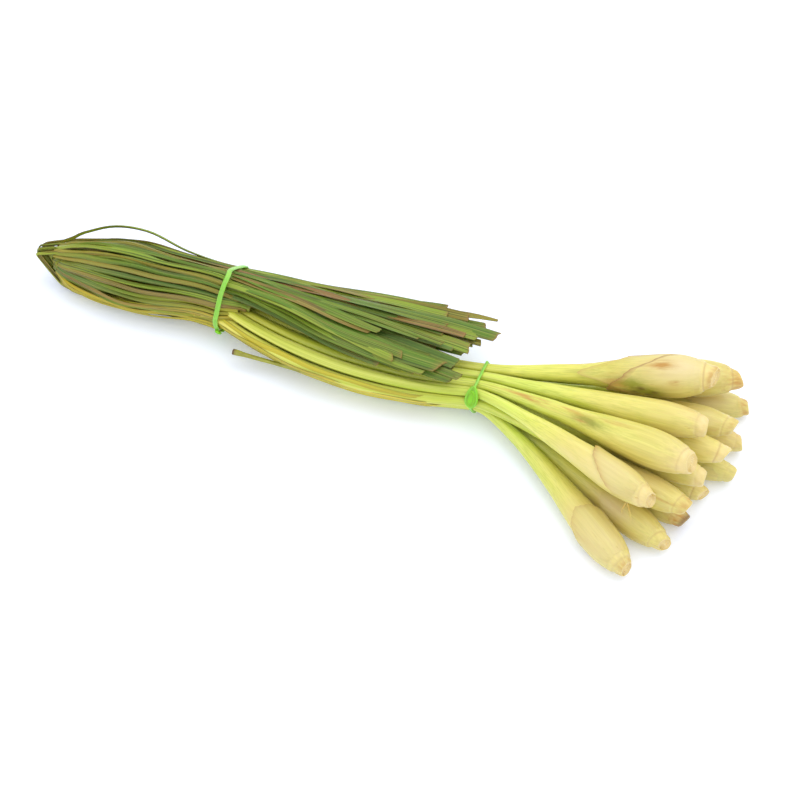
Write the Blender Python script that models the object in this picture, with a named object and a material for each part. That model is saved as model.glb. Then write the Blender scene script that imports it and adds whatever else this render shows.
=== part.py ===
"""A tied bundle of lemongrass lying on a table.

Sixteen stalks fan out to the right of a front band, with their bulbs in three layers.
To its left they run flattened, side by side, to a rear band. Each stalk ends there in a
collar, and its leaves go on to the left, fold over, and come back on top of the stalks
to their cut ends. +X points to the bulbs, and Z is up.
"""
import math

import bmesh
import bpy
import numpy as np

MM = 0.001

# The bundle's own origin is the middle of the front band, on the table. The part's origin
# is the middle of its footprint, this far from there (mm).
ORIGIN = (-68.5, -19.5)

# Bands
REAR_X = -168.0            # the rear band, left of the front band
BAND_GAP = 0.4             # between a band and what it holds
FRONT_CORD = 1.7           # diameter of the front band
REAR_WIDTH = 3.2           # the rear band is flat
REAR_THICK = 1.2
LOOP_SIZE = (6.0, 9.5)      # the front band's loop, across and along
LOOP_FACE = np.array((0.0, -0.85, 0.53))     # the way that it faces
KNOT_FACE = np.array((0.0, -0.87, -0.50))    # the rear band's knot is low in front
FRONT_KNOT = (1.9, 2.2, 1.3)                 # radii across, along and out of the band
REAR_KNOT = (2.1, 3.3, 1.2)
KNOT_OUT = 0.85                              # how far out of the band its middle is

# Between the bands the bundle turns about its length, so that the leaves lie on top at the
# back, and its sheaths bow to the front
AXIS_Z = 20.6
REAR_ROLL = 28.0           # degrees
BOW = 11.0
BOW_BY_COLUMN = 2.0        # the back columns bow this much less each
SAG = 2.5                  # the stalks sink between the bands, the higher rows less
SAG_BY_ROW = 0.5
ACROSS = np.array((0.0, 1.0, 0.0))

# Tables against x: the middle line's y, the roll in degrees, and how far a layer drops to
# its sides in mm per square mm
SPINE = ((-296, -270, -246, -200, REAR_X, 0), (0.5, 3.0, 4.5, 7.0, 9.0, 0.0))
ROLL = ((-296, -246, REAR_X, 0), (12, 22, REAR_ROLL, 0))
ARCH = 0.016
ARCH_FRONT = 0.006         # the returned leaves keep this much at the front band

# Stalks where the front band squeezes them: hexagonal packing in four rows
PACK_PITCH = 6.2
PACK_ROW = 5.37
PACK_Z = 16.0
PACK_RADIUS = 2.95
MIDDLE_ROW = 1.5
# and where they reach the rear band as flat sheaths
SHEATH_PITCH = 7.2
SHEATH_ROW = 4.3
SHEATH_Z = 6.9
SHEATH_HALF = (3.2, 1.95)  # half width and half thickness
MID_HALF = (3.8, 2.85)     # the same, half way between the bands
COLLAR_LENGTH = 6.0
END_GAP = 0.3              # between a stalk and its leaves' collar

# name: row, column, yaw (deg), reach (mm), height (mm), bulb diameter (mm), collar (mm)
# Rows count up from the table and columns from the middle, front to back. The yaw, reach
# and height place the cut base, seen from the front band. The collar is its distance
# behind the rear band.
STALKS = {
    "16": (1, -1.5, -36.5, 149, 9.3, 21.0, 12),
    "15": (0, -1.0, -25.5, 150, 9.2, 19.0, 10),
    "14": (1, -0.5, -17.0, 148, 6.8, 16.5, 16),
    "12": (0, 0.0, -8.5, 148, 7.7, 16.5, 17),
    "09": (1, 0.5, -0.5, 159, 7.1, 17.0, 11),
    "06": (0, 1.0, 8.0, 159, 7.9, 17.0, 12),
    "03": (1, 1.5, 18.0, 162, 7.6, 18.0, 18),
    "13": (2, -2.0, -18.8, 150, 27.0, 18.0, 15),
    "10": (2, -1.0, -10.0, 148, 28.0, 18.0, 10),
    "08": (2, 0.0, -2.0, 153, 28.5, 18.0, 17),
    "05": (2, 1.0, 6.5, 153, 27.0, 18.0, 13),
    "01": (2, 2.0, 18.5, 154, 33.0, 21.0, 10),
    "11": (3, -1.5, -26.5, 137, 42.0, 19.0, 11),
    "07": (3, -0.5, -14.0, 142, 50.5, 23.0, 18),
    "04": (3, 0.5, -2.5, 139, 49.5, 20.0, 12),
    "02": (3, 1.5, 12.0, 137, 53.0, 24.5, 16),
}

# How much of its yaw a stalk already has where it leaves the front band
USUAL_SPLAY = 0.62
SPLAY = {"16": 0.5}

# A bulb's radius against the distance from its cut base: distance (mm), share of its
# largest radius
THICKEST_SHAFT = 6.2       # a shaft's radius further than SHAFT from the cut base
SHAFT = 60.0
BULB = ((0, 0.56), (3, 0.66), (9, 0.83), (17, 0.96), (27, 1.0), (40, 0.92), (56, 0.77),
        (76, 0.645))
NECK = 36.0                # the shaft starts to thin this far from the front band
NECK_SHARE = 0.40
NECK_LEAST = 3.8
SQUEEZE = 12.0             # and has its packed size from here to the band
STALK_SIDES = 12
LANE_X = (-20.0, -48.0, -84.0, -120.0, -150.0)

# Leaves: flat strips in nested layers, three to a row of stalks. Layer 0 is the outermost:
# lowest on the way out and topmost on the way back.
LEAF_THICK = 0.7
LAYERS_A_ROW = 3
INNERMOST = 11
LAYER_STEP = 1.3
OUT_DIP = 3.3              # how far the layers sink on their way to the fold
BULGE_STEP = 1.65          # layers are looser where the bundle swells
OUT_WIDTH = 5.5            # width at the collar
FOLD_X = -270.0            # where the innermost layer turns
FOLD_Z = 20.8
FOLD_REACH = 0.9           # how far a layer's tip sticks out, per mm of its height
FOLD_STEP = 0.8            # each layer outwards bends this much later on its way out
FOLD_RETURN = 0.5          # and this much later on its way back
BACK_Z = 23.1              # lowest returned layer at the rear band
BACK_RISE = 6.0            # how much higher it is at the front band
OUT_SPREAD = ((-205.0, 1.08), (-234.0, 1.14), (-258.0, 1.05))   # x, and spread there
BACK_X = (-258.0, -234.0, -206.0, -168.0, -132.0, -94.0, -58.0, -26.0)
SIDE_GAP = 0.5             # least gap between strips of a layer
LOOSE_LIFT = 9.0           # one leaf stands clear of the others near the fold
LOOSE_FROM = -280.0        # along this stretch
LOOSE_LENGTH = 100.0
FAN_MIDDLE = 9.5           # the strip that ends at this y returns straight
FAN_FRONT = 0.62           # how much of their spread the others have at the rear band,
FAN_BACK = 0.725           # on either side

# layer: for each strip, its stalk, end x, end y, width, slant of the cut, width at the end
LEAVES = {
    0: (("15", -64, -5, 6, 2, 4.5), ("12", -25, 1, 5, 2, 4), ("06", -40, 36, 4, 1, 3.5)),
    1: (("15", -46, -15, 6, -2, 5), ("12", -15, 13, 9, 1, 8), ("06", -19, 31, 7, -1, 6.5)),
    2: (("15", -22, -12, 11, 6, 10), ("12", -10, 4, 9, -2, 8), ("06", 3, 20, 10, 2, 9)),
    3: (("16", -30, -19, 5, 2, 4), ("14", -34, 5, 8, 2, 7), ("09", -28, 17, 8, 0, 7),
        ("03", -38, 44, 9, 1, 8)),
    4: (("16", -9, -14, 7, 3, 6), ("09", -5, 14, 8, -2, 7), ("03", -3, 40, 5, 0, 1.6)),
    5: (("14", -14, -5, 9, 3, 8), ("09", -20, 10, 8, 1, 7), ("03", -8, 32, 8, -2, 7)),
    6: (("13", -45, -17, 7, 2, 6), ("10", -30, 1, 8, 0, 7), ("05", -12, 18, 8, 2, 7),
        ("01", -50, 42, 7, 1, 6)),
    7: (("10", -16, -8, 8, 2, 7), ("08", -26, 10, 8, -1, 7), ("05", -18, 27, 8, 1, 7)),
    8: (("13", -32, -12, 8, 1, 7), ("08", -14, 7, 8, 2, 7), ("01", -28, 36, 8, -2, 7)),
    9: (("11", -40, -9, 8, 2, 7), ("04", -24, 13, 8, 1, 7), ("02", -36, 30, 8, -1, 7)),
    10: (("11", -52, -6, 7, 2, 6), ("07", -38, 8, 8, 1, 7), ("02", -30, 24, 8, 0, 7)),
    11: (("07", -62, 1, 7, 1, 6), ("04", -48, 15, 8, -2, 7)),
}
LOOSE = (0, "06")          # the layer and stalk of the leaf that stands clear

# A short broken side shoot on one stalk: x, and how far to the back of and above the
# stalk's middle line its points are
SHOOT_STALK = "16"
SHOOT = ((-98.0, -0.8, -1.0), (-126.0, -6.0, -1.5), (-152.0, -13.0, -2.5))
SHOOT_RADII = (2.0, 1.2, 1.5)

STALK_COLOUR = (0.72, 0.72, 0.33, 1.0)
LEAF_COLOUR = (0.18, 0.30, 0.07, 1.0)
BAND_COLOUR = (0.33, 0.78, 0.12, 1.0)


def unit(v):
    return v / np.linalg.norm(v)


def spine_y(x):
    """The middle of the bundle, as a distance from the front band's middle."""
    return float(np.interp(x, *SPINE))


def back_y(x):
    """The middle of the returned leaves, which fan out over the stalks."""
    return spine_y(min(x, REAR_X))


def arch(x, edge=0.0):
    """How far a layer drops to its sides, down to edge at the front band."""
    return float(np.interp(x, (REAR_X, 0), (ARCH, edge)))


def roll(x):
    """How far the bundle is turned about its length, its top away from the front (rad)."""
    return math.radians(float(np.interp(x, *ROLL)))


def place(x, offset, z, slope, middle):
    """A point of the bundle and the direction across it, turned with the bundle."""
    c, s = math.cos(roll(x)), math.sin(roll(x))
    up = z - AXIS_Z
    point = np.array((x, middle + c * offset + s * up, AXIS_Z - s * offset + c * up))
    return point, np.array((0.0, c + s * slope, c * slope - s))


def lane(row, col, x):
    """Centre, half width and half thickness of a sheath, and the direction across it."""
    t = x / REAR_X
    if t < 1.0:
        swell = math.sin(math.pi * t) ** 0.8
    else:
        swell = 0.0
    t = min(t, 1.0)
    pitch = PACK_PITCH + (SHEATH_PITCH - PACK_PITCH) * t
    offset = col * pitch
    middle = spine_y(x) - swell * (BOW - BOW_BY_COLUMN * col)
    z_front = PACK_Z + (row - MIDDLE_ROW) * PACK_ROW
    z_rear = SHEATH_Z + row * SHEATH_ROW
    z = z_front + (z_rear - z_front) * t - swell * (SAG - SAG_BY_ROW * row)
    z -= arch(x) * offset ** 2
    ends = (PACK_RADIUS + (SHEATH_HALF[0] - PACK_RADIUS) * t,
            PACK_RADIUS + (SHEATH_HALF[1] - PACK_RADIUS) * t)
    half = tuple(e + (m - (PACK_RADIUS + s) / 2) * swell
                 for e, m, s in zip(ends, MID_HALF, SHEATH_HALF))
    centre, side = place(x, offset, z, -2.0 * arch(x) * offset, middle)
    return centre, half, side


def fan(name, count=64):
    """A stalk's middle line from the front band to its cut base."""
    row, col, yaw, reach, height = STALKS[name][:5]
    start = lane(row, col, 0.0)[0]
    yaw = math.radians(yaw)
    end = np.array((reach * math.cos(yaw), reach * math.sin(yaw), height))
    length = np.linalg.norm(end - start)
    run = (end - start) / length
    splay = SPLAY.get(name, USUAL_SPLAY)
    leave = unit(np.array((1.0, splay * run[1] / run[0], 0.9 * run[2] / run[0])))
    near, far = start + 0.3 * length * leave, end - 0.35 * length * run
    t = np.linspace(0.0, 1.0, count)[:, None]
    return (start * (1 - t) ** 3 + near * 3 * t * (1 - t) ** 2
            + far * 3 * t ** 2 * (1 - t) + end * t ** 3)


def bulb_radii(name, length):
    """Distances from the cut base and the radii there, out to the front band."""
    radius = STALKS[name][5] / 2
    steps = [(s, min(share * radius, THICKEST_SHAFT) if s > SHAFT else share * radius)
             for s, share in BULB]
    steps.append((length - NECK, max(NECK_LEAST, NECK_SHARE * radius)))
    steps.append((length - SQUEEZE, PACK_RADIUS + 0.05))
    return steps


def tube_ring(centre, along, side, half, corner=2.0, sides=STALK_SIDES):
    """One closed ring round a middle line; corner 2 is an ellipse, more is squarer."""
    side = unit(side - along * side.dot(along))
    up = np.cross(along, side)
    ring = []
    for i in range(sides):
        a = math.tau * (i + 0.5) / sides
        c, s = math.cos(a), math.sin(a)
        u = math.copysign(abs(c) ** (2.0 / corner), c) * half[0]
        v = math.copysign(abs(s) ** (2.0 / corner), s) * half[1]
        ring.append(centre + side * u + up * v)
    return ring


def body(name, rings, collection, material):
    """A closed skin over a row of rings with as many points each, kept above the table."""
    bm = bmesh.new()
    loops = []
    for ring in rings:
        loop = []
        for x, y, z in ring:
            x, y, z = x - ORIGIN[0], y - ORIGIN[1], max(z, 0.0)
            loop.append(bm.verts.new((x * MM, y * MM, z * MM)))
        loops.append(loop)
    count = len(loops[0])
    for a, b in zip(loops, loops[1:]):
        for i in range(count):
            j = (i + 1) % count
            bm.faces.new((a[i], a[j], b[j], b[i]))
    bm.faces.new(loops[0][::-1])
    bm.faces.new(loops[-1])
    bmesh.ops.recalc_face_normals(bm, faces=bm.faces)
    mesh = bpy.data.meshes.new(name)
    bm.to_mesh(mesh)
    bm.free()
    mesh.materials.append(material)
    ob = bpy.data.objects.new(name, mesh)
    collection.objects.link(ob)
    return ob


def fuse(ob, others):
    """Join other closed meshes to ob, one after another, and remove them."""
    for other in others:
        union = ob.modifiers.new("join", "BOOLEAN")
        union.operation = "UNION"
        union.object = other
        graph = bpy.context.evaluated_depsgraph_get()
        joined = bpy.data.meshes.new_from_object(ob.evaluated_get(graph))
        ob.modifiers.clear()
        old = ob.data
        ob.data = joined
        bpy.data.meshes.remove(old)
        bpy.data.objects.remove(other)


def make_stalk(name, collection, material):
    row, col = STALKS[name][:2]
    line = fan(name)
    steps = np.linalg.norm(np.diff(line, axis=0), axis=1)
    to_base = np.concatenate((np.cumsum(steps[::-1])[::-1], (0.0,)))
    rings = []
    for s, radius in bulb_radii(name, to_base[0]):
        centre = np.array([np.interp(-s, -to_base, line[:, k]) for k in range(3)])
        ahead = np.array([np.interp(-s - 2.0, -to_base, line[:, k]) for k in range(3)])
        behind = np.array([np.interp(-s + 2.0, -to_base, line[:, k]) for k in range(3)])
        rings.append(tube_ring(centre, unit(ahead - behind), ACROSS, (radius, radius)))
    end = REAR_X - STALKS[name][6]
    for x in (0.0,) + LANE_X + (REAR_X, end):
        centre, half, side = lane(row, col, x)
        before = lane(row, col, x - 1.0)[0]
        after = lane(row, col, x + 1.0)[0] if x < 0.0 else line[1]
        along = unit(unit(before - centre) + unit(centre - after))
        rings.append(tube_ring(centre, along, side, half, 3.2 if x < REAR_X else 2.0))
    stalk = body("stalk_" + name, rings, collection, material)
    if name == SHOOT_STALK:
        points = [lane(row, col, x)[0] + (0.0, y, z) for x, y, z in SHOOT]
        shoot = []
        for i, (point, radius) in enumerate(zip(points, SHOOT_RADII)):
            run = points[min(i + 1, 2)] - points[max(i - 1, 0)]
            shoot.append(tube_ring(point, unit(run), ACROSS, (radius, radius), sides=8))
        fuse(stalk, [body("shoot", shoot, collection, material)])
    return stalk


def layer_out_z(layer, x):
    """Height of a layer on its way out, in the middle of the bundle."""
    row, level = divmod(layer, LAYERS_A_ROW)
    dip = float(np.interp(x, (-234.0, -196.0), (OUT_DIP, 0.0)))
    return SHEATH_Z + row * SHEATH_ROW + (level - 1) * LAYER_STEP - dip


def layer_back_z(layer, x):
    """Height of a layer on its way back, in the middle of the bundle."""
    rise = BACK_RISE * (x - REAR_X) / -REAR_X if x > REAR_X else 0.0
    step = float(np.interp(x, (-234.0, -200.0), (BULGE_STEP, LAYER_STEP)))
    return BACK_Z + rise + step * (INNERMOST - layer)


def rear_offset(end_y):
    """Where a strip that ends at end_y crosses the rear band, from the bundle's middle."""
    out = end_y - FAN_MIDDLE
    return out * (FAN_FRONT if out < 0.0 else FAN_BACK)


def layer_paths(layer):
    """A list for each strip of a layer: x, offset from the middle, height and width."""
    strips = LEAVES[layer]
    paths = []
    for stalk, end_x, end_y, width, slant, end_width in strips:
        col = STALKS[stalk][1]
        root = col * SHEATH_PITCH
        rear = rear_offset(end_y)
        collar = REAR_X - STALKS[stalk][6]
        path = []
        for x in (collar - 2.0, collar - 10.0):
            path.append((x, root, layer_out_z(layer, x), OUT_WIDTH))
        for x, share in OUT_SPREAD:
            path.append((x, root * share, layer_out_z(layer, x), OUT_WIDTH + 0.5))
        # the fold: two bends and the tip between them
        low, high = layer_out_z(layer, FOLD_X), layer_back_z(layer, FOLD_X)
        bend = FOLD_X - FOLD_STEP * (INNERMOST - layer)
        path.append((bend, root * 0.8, low, OUT_WIDTH))
        tip = bend - FOLD_REACH * (FOLD_Z - low)
        path.append((tip, root * 0.55 + rear * 0.15, FOLD_Z, OUT_WIDTH))
        bend = FOLD_X + FOLD_RETURN * (INNERMOST - layer)
        path.append((bend, root * 0.4 + rear * 0.4, high, OUT_WIDTH))
        for x in BACK_X:
            if x > end_x - 10.0:
                continue
            share = float(np.interp(x, (-258, -206), (0.85, 1.0)))
            along = max(0.0, (x - REAR_X) / (end_x - REAR_X)) ** 0.8
            offset = rear * share + (end_y - back_y(end_x) - rear) * along
            grown = float(np.interp(x, (-258, -190), (OUT_WIDTH, width)))
            path.append((x, offset, layer_back_z(layer, x), grown))
        path.append((end_x, end_y - back_y(end_x), layer_back_z(layer, end_x), end_width))
        paths.append(path)
    return paths


def strip_width(paths, which, step):
    """A strip is no wider than its place between its neighbours in the layer."""
    x, offset, z, width = paths[which][step]
    turn = [k for k in range(len(paths[which])) if paths[which][k][2] == FOLD_Z][0]
    for other in (which - 1, which + 1):
        if not 0 <= other < len(paths):
            continue
        half = paths[other][:turn + 1] if step <= turn else paths[other][turn:]
        order = sorted((p[0], p[1], p[3]) for p in half)
        if x > order[-1][0] + 4.0:
            continue
        near = float(np.interp(x, [p[0] for p in order], [p[1] for p in order]))
        wide = float(np.interp(x, [p[0] for p in order], [p[2] for p in order]))
        room = abs(near - offset) - SIDE_GAP
        if (width + wide) / 2 > room:
            width = min(width, width * room / ((width + wide) / 2))
    return width


def strip_point(layer, which, paths, step, offset=None):
    """A point of a strip's middle line, or of its layer beside it, and the way across."""
    path = paths[which]
    turn = [k for k, p in enumerate(path) if p[2] == FOLD_Z][0]
    x, own, z, _ = path[step]
    offset = own if offset is None else offset
    back = step > turn
    drop = arch(x, ARCH_FRONT if back else 0.0)
    if back and (layer, LEAVES[layer][which][0]) == LOOSE:
        z += LOOSE_LIFT * math.sin(math.pi * np.clip((x - LOOSE_FROM) / LOOSE_LENGTH, 0.0, 1.0)) ** 2
    middle = back_y(x) if back else spine_y(x)
    return place(x, offset, z - drop * offset ** 2, -2.0 * drop * offset, middle)


def strip_rings(layer, which, paths):
    path = paths[which]
    last = len(path) - 1
    rings = []
    for k in range(last + 1):
        offset = path[k][1]
        point, side = strip_point(layer, which, paths, k)
        before = strip_point(layer, which, paths, max(k - 1, 0), offset)[0]
        after = strip_point(layer, which, paths, min(k + 1, last), offset)[0]
        if 0 < k < last:
            first, second = unit(point - before), unit(after - point)
            along = unit(first + second)
            mitre = 1.0 / max(0.35, along.dot(first))
        else:
            along, mitre = unit(after - before), 1.0
        u = unit(side) * strip_width(paths, which, k) / 2
        v = unit(np.cross(along, side)) * LEAF_THICK / 2 * mitre
        skew = np.array((LEAVES[layer][which][4] / 2, 0.0, 0.0)) if k == last else 0.0
        rings.append([point + u + v + skew, point - u + v - skew, point - u - v - skew,
                      point + u - v + skew])
    return rings


def make_leaves(name, collection, material):
    """A stalk's leaves: the collar and every strip that grows from it."""
    row, col = STALKS[name][:2]
    collar = REAR_X - STALKS[name][6]
    rings = []
    for x, half in ((collar - END_GAP, SHEATH_HALF), (collar - COLLAR_LENGTH, (2.9, 1.8))):
        centre, _, side = lane(row, col, x)
        along = unit(lane(row, col, x - 1.0)[0] - lane(row, col, x + 1.0)[0])
        rings.append(tube_ring(centre, along, side, half, corner=3.2))
    leaves = body("leaves_" + name, rings, collection, material)
    strips = []
    for layer, members in LEAVES.items():
        paths = layer_paths(layer)
        for which, member in enumerate(members):
            if member[0] == name:
                strips.append(body("strip", strip_rings(layer, which, paths), collection,
                                   material))
    fuse(leaves, strips)
    return leaves


def hull_outline(points, offset, count):
    """A convex outline round (y, z) points, this far outside them."""
    points = np.array(points)
    angles = [math.tau * (i + 0.5) / count for i in range(count)]
    reach = [float((points @ np.array((math.cos(a), math.sin(a)))).max()) + offset
             for a in angles]
    outline = []
    for i in range(count):
        a, b = angles[i], angles[(i + 1) % count]
        lines = np.array(((math.cos(a), math.sin(a)), (math.cos(b), math.sin(b))))
        outline.append(np.linalg.solve(lines, (reach[i], reach[(i + 1) % count])))
    return outline


def slice_points(objects, low, high):
    """Where the edges of the meshes cross x = low, 0 and high, and the vertices between."""
    found = []
    for ob in objects:
        co = [np.array(v.co) / MM + np.array(ORIGIN + (0.0,)) for v in ob.data.vertices]
        for edge in ob.data.edges:
            a, b = (co[i] for i in edge.vertices)
            for x in (low, (low + high) / 2, high):
                if (a[0] - x) * (b[0] - x) < 0:
                    t = (x - a[0]) / (b[0] - a[0])
                    found.append(tuple((a + (b - a) * t)[1:]))
        found += [tuple(p[1:]) for p in co if low <= p[0] <= high]
    return found


def curve_mesh(name, points, collection, material, depth, extrude=0.0, cyclic=True):
    """A bevelled line made a mesh."""
    curve = bpy.data.curves.new(name, "CURVE")
    curve.dimensions = "3D"
    curve.twist_mode = "Z_UP" if extrude else "MINIMUM"
    curve.bevel_depth = depth * MM
    curve.bevel_resolution = 1
    curve.extrude = extrude * MM
    curve.use_fill_caps = True
    spline = curve.splines.new("POLY")
    spline.points.add(len(points) - 1)
    spline.use_cyclic_u = cyclic
    # the line is drawn lying down, so that a flat band's width is along local Z
    for target, (x, y, z) in zip(spline.points, points):
        target.co = ((y - ORIGIN[1]) * MM, z * MM, (x - ORIGIN[0]) * MM, 1.0)
    guide = bpy.data.objects.new(name, curve)
    collection.objects.link(guide)
    graph = bpy.context.evaluated_depsgraph_get()
    mesh = bpy.data.meshes.new_from_object(guide.evaluated_get(graph))
    bm = bmesh.new()
    bm.from_mesh(mesh)
    bmesh.ops.remove_doubles(bm, verts=bm.verts, dist=0.00001)
    for v in bm.verts:
        v.co = v.co.zxy
    bmesh.ops.recalc_face_normals(bm, faces=bm.faces)
    bm.to_mesh(mesh)
    bm.free()
    bpy.data.objects.remove(guide)
    bpy.data.curves.remove(curve)
    mesh.materials.clear()
    mesh.materials.append(material)
    ob = bpy.data.objects.new(name, mesh)
    collection.objects.link(ob)
    return ob


def knot(name, centre, radii, face, collection, material):
    """A flat round lump: its radii across, along and out of the band."""
    face = unit(face)
    axes = (np.array((1.0, 0.0, 0.0)), np.cross(face, (1.0, 0.0, 0.0)), face)
    bm = bmesh.new()
    bmesh.ops.create_uvsphere(bm, u_segments=12, v_segments=8, radius=1.0)
    for v in bm.verts:
        x, y, z = centre + sum(axis * r * c for axis, r, c in zip(axes, radii, v.co))
        v.co = ((x - ORIGIN[0]) * MM, (y - ORIGIN[1]) * MM, z * MM)
    bmesh.ops.recalc_face_normals(bm, faces=bm.faces)
    mesh = bpy.data.meshes.new(name)
    bm.to_mesh(mesh)
    bm.free()
    mesh.materials.append(material)
    ob = bpy.data.objects.new(name, mesh)
    collection.objects.link(ob)
    return ob


def make_material(name, colour, roughness):
    material = bpy.data.materials.new(name)
    material.use_nodes = True
    shader = material.node_tree.nodes["Principled BSDF"]
    shader.inputs["Base Color"].default_value = colour
    shader.inputs["Roughness"].default_value = roughness
    shader.inputs["Metallic"].default_value = 0.0
    return material


def make_bands(stalks, leaves, collection, material):
    """The two elastic bands, each with the knotted loop it is closed with."""
    held = slice_points(stalks, -1.2, 1.2)
    outline = hull_outline(held, BAND_GAP + FRONT_CORD / 2, 28)
    front = curve_mesh("tie_stalks", [(0.0, y, z) for y, z in outline], collection, material,
                       FRONT_CORD / 2)
    # the loop lies flat on the front of the band, round a knot
    seat = max(outline, key=lambda p: p[0] * LOOP_FACE[1] + p[1] * LOOP_FACE[2])
    along = np.cross(LOOP_FACE, (1.0, 0.0, 0.0))
    centre = np.array((0.0, seat[0], seat[1])) + LOOP_FACE * KNOT_OUT
    loop = []
    for i in range(16):
        a = math.tau * i / 16
        wide = LOOP_SIZE[0] / 2 * math.sin(a) * (1.0 - 0.2 * math.cos(a))
        loop.append(centre + np.array((wide, 0.0, 0.0))
                    + along * LOOP_SIZE[1] / 2 * math.cos(a))
    top = centre + along * LOOP_SIZE[1] / 2
    fuse(front, [curve_mesh("loop", loop, collection, material, FRONT_CORD / 2),
                 knot("knot", top, FRONT_KNOT, LOOP_FACE, collection, material)])

    held = slice_points(stalks + leaves, REAR_X - 2.2, REAR_X + 2.2)
    outline = hull_outline(held, BAND_GAP + REAR_THICK / 2, 32)
    rear = curve_mesh("tie_leaves", [(REAR_X, y, z) for y, z in outline], collection,
                      material, REAR_THICK / 2, extrude=(REAR_WIDTH - REAR_THICK) / 2)
    seat = max(outline, key=lambda p: p[0] * KNOT_FACE[1] + p[1] * KNOT_FACE[2])
    centre = np.array((REAR_X, seat[0], seat[1])) + KNOT_FACE * KNOT_OUT
    fuse(rear, [knot("knot", centre, REAR_KNOT, KNOT_FACE, collection, material)])
    return front, rear


def build():
    for ob in list(bpy.data.objects):
        bpy.data.objects.remove(ob)
    collection = bpy.data.collections.new("lemongrass_bundle")
    bpy.context.scene.collection.children.link(collection)
    pale = make_material("stalk", STALK_COLOUR, 0.45)
    green = make_material("leaf", LEAF_COLOUR, 0.6)
    elastic = make_material("band", BAND_COLOUR, 0.4)
    stalks = [make_stalk(name, collection, pale) for name in STALKS]
    leaves = [make_leaves(name, collection, green) for name in STALKS]
    make_bands(stalks, leaves, collection, elastic)


build()
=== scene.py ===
"""The looks of a tied bundle of lemongrass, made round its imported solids.

The same lines that carry the solids are drawn here again with finer steps: stalks with
their sheaths and cut bases, leaf blades, and the elastic bands. Sizes are in mm, from the
middle of the front band on the table, until a mesh is made.
"""
import math

import bmesh
import bpy
import numpy as np
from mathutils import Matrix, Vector

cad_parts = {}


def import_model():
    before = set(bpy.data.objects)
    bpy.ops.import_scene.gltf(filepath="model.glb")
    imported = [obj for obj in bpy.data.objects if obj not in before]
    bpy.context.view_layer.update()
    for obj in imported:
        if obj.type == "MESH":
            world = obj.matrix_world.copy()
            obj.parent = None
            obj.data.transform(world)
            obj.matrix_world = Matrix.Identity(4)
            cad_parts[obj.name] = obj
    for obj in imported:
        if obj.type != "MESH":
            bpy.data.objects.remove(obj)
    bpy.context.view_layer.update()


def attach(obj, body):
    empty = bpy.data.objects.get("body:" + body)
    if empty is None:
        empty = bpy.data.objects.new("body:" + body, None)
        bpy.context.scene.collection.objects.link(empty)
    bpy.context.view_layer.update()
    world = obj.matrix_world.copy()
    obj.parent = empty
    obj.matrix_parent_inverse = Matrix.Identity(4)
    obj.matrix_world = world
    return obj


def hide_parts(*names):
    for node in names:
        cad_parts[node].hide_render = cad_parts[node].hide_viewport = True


MM = 0.001
TAU = math.tau
AHEAD = np.array((1.0, 0.0, 0.0))
ACROSS = np.array((0.0, 1.0, 0.0))

# ------------------------ the bundle's layout
# These values repeat the part's own. A table against x holds the x's and the values there.
ORIGIN = (-68.5, -19.5)
REAR_X = -168.0
FRONT_CORD = 1.7
REAR_WIDTH = 3.2
REAR_THICK = 1.2
LOOP_SIZE = (6.0, 9.5)
LOOP_FACE = np.array((0.0, -0.85, 0.53))
KNOT_FACE = np.array((0.0, -0.87, -0.50))
AXIS_Z = 20.6
REAR_ROLL = 28.0
BOW = 11.0
BOW_BY_COLUMN = 2.0
SAG = 2.5
SAG_BY_ROW = 0.5
SPINE = ((-296, -270, -246, -200, REAR_X, 0), (0.5, 3.0, 4.5, 7.0, 9.0, 0.0))
ROLL = ((-296, -246, REAR_X, 0), (12, 22, REAR_ROLL, 0))
ARCH = 0.016
ARCH_FRONT = 0.006
PACK_PITCH = 6.2
PACK_ROW = 5.37
PACK_Z = 16.0
PACK_RADIUS = 2.95
MIDDLE_ROW = 1.5
SHEATH_PITCH = 7.2
SHEATH_ROW = 4.3
SHEATH_Z = 6.9
SHEATH_HALF = (3.2, 1.95)
MID_HALF = (3.8, 2.85)

# name: row, column, yaw, reach, height, bulb diameter, collar
STALKS = {
    "16": (1, -1.5, -36.5, 149, 9.3, 21.0, 12),
    "15": (0, -1.0, -25.5, 150, 9.2, 19.0, 10),
    "14": (1, -0.5, -17.0, 148, 6.8, 16.5, 16),
    "12": (0, 0.0, -8.5, 148, 7.7, 16.5, 17),
    "09": (1, 0.5, -0.5, 159, 7.1, 17.0, 11),
    "06": (0, 1.0, 8.0, 159, 7.9, 17.0, 12),
    "03": (1, 1.5, 18.0, 162, 7.6, 18.0, 18),
    "13": (2, -2.0, -18.8, 150, 27.0, 18.0, 15),
    "10": (2, -1.0, -10.0, 148, 28.0, 18.0, 10),
    "08": (2, 0.0, -2.0, 153, 28.5, 18.0, 17),
    "05": (2, 1.0, 6.5, 153, 27.0, 18.0, 13),
    "01": (2, 2.0, 18.5, 154, 33.0, 21.0, 10),
    "11": (3, -1.5, -26.5, 137, 42.0, 19.0, 11),
    "07": (3, -0.5, -14.0, 142, 50.5, 23.0, 18),
    "04": (3, 0.5, -2.5, 139, 49.5, 20.0, 12),
    "02": (3, 1.5, 12.0, 137, 53.0, 24.5, 16),
}
USUAL_SPLAY = 0.62
SPLAY = {"16": 0.5}
THICKEST_SHAFT = 6.2
SHAFT = 60.0
BULB = ((0, 0.56), (3, 0.66), (9, 0.83), (17, 0.96), (27, 1.0), (40, 0.92), (56, 0.77),
        (76, 0.645))
NECK = 36.0
NECK_SHARE = 0.40
NECK_LEAST = 3.8
PACKED = 12.0
SHOOT_STALK = "16"
SHOOT = ((-98.0, -0.8, -1.0), (-126.0, -6.0, -1.5), (-152.0, -13.0, -2.5))

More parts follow.
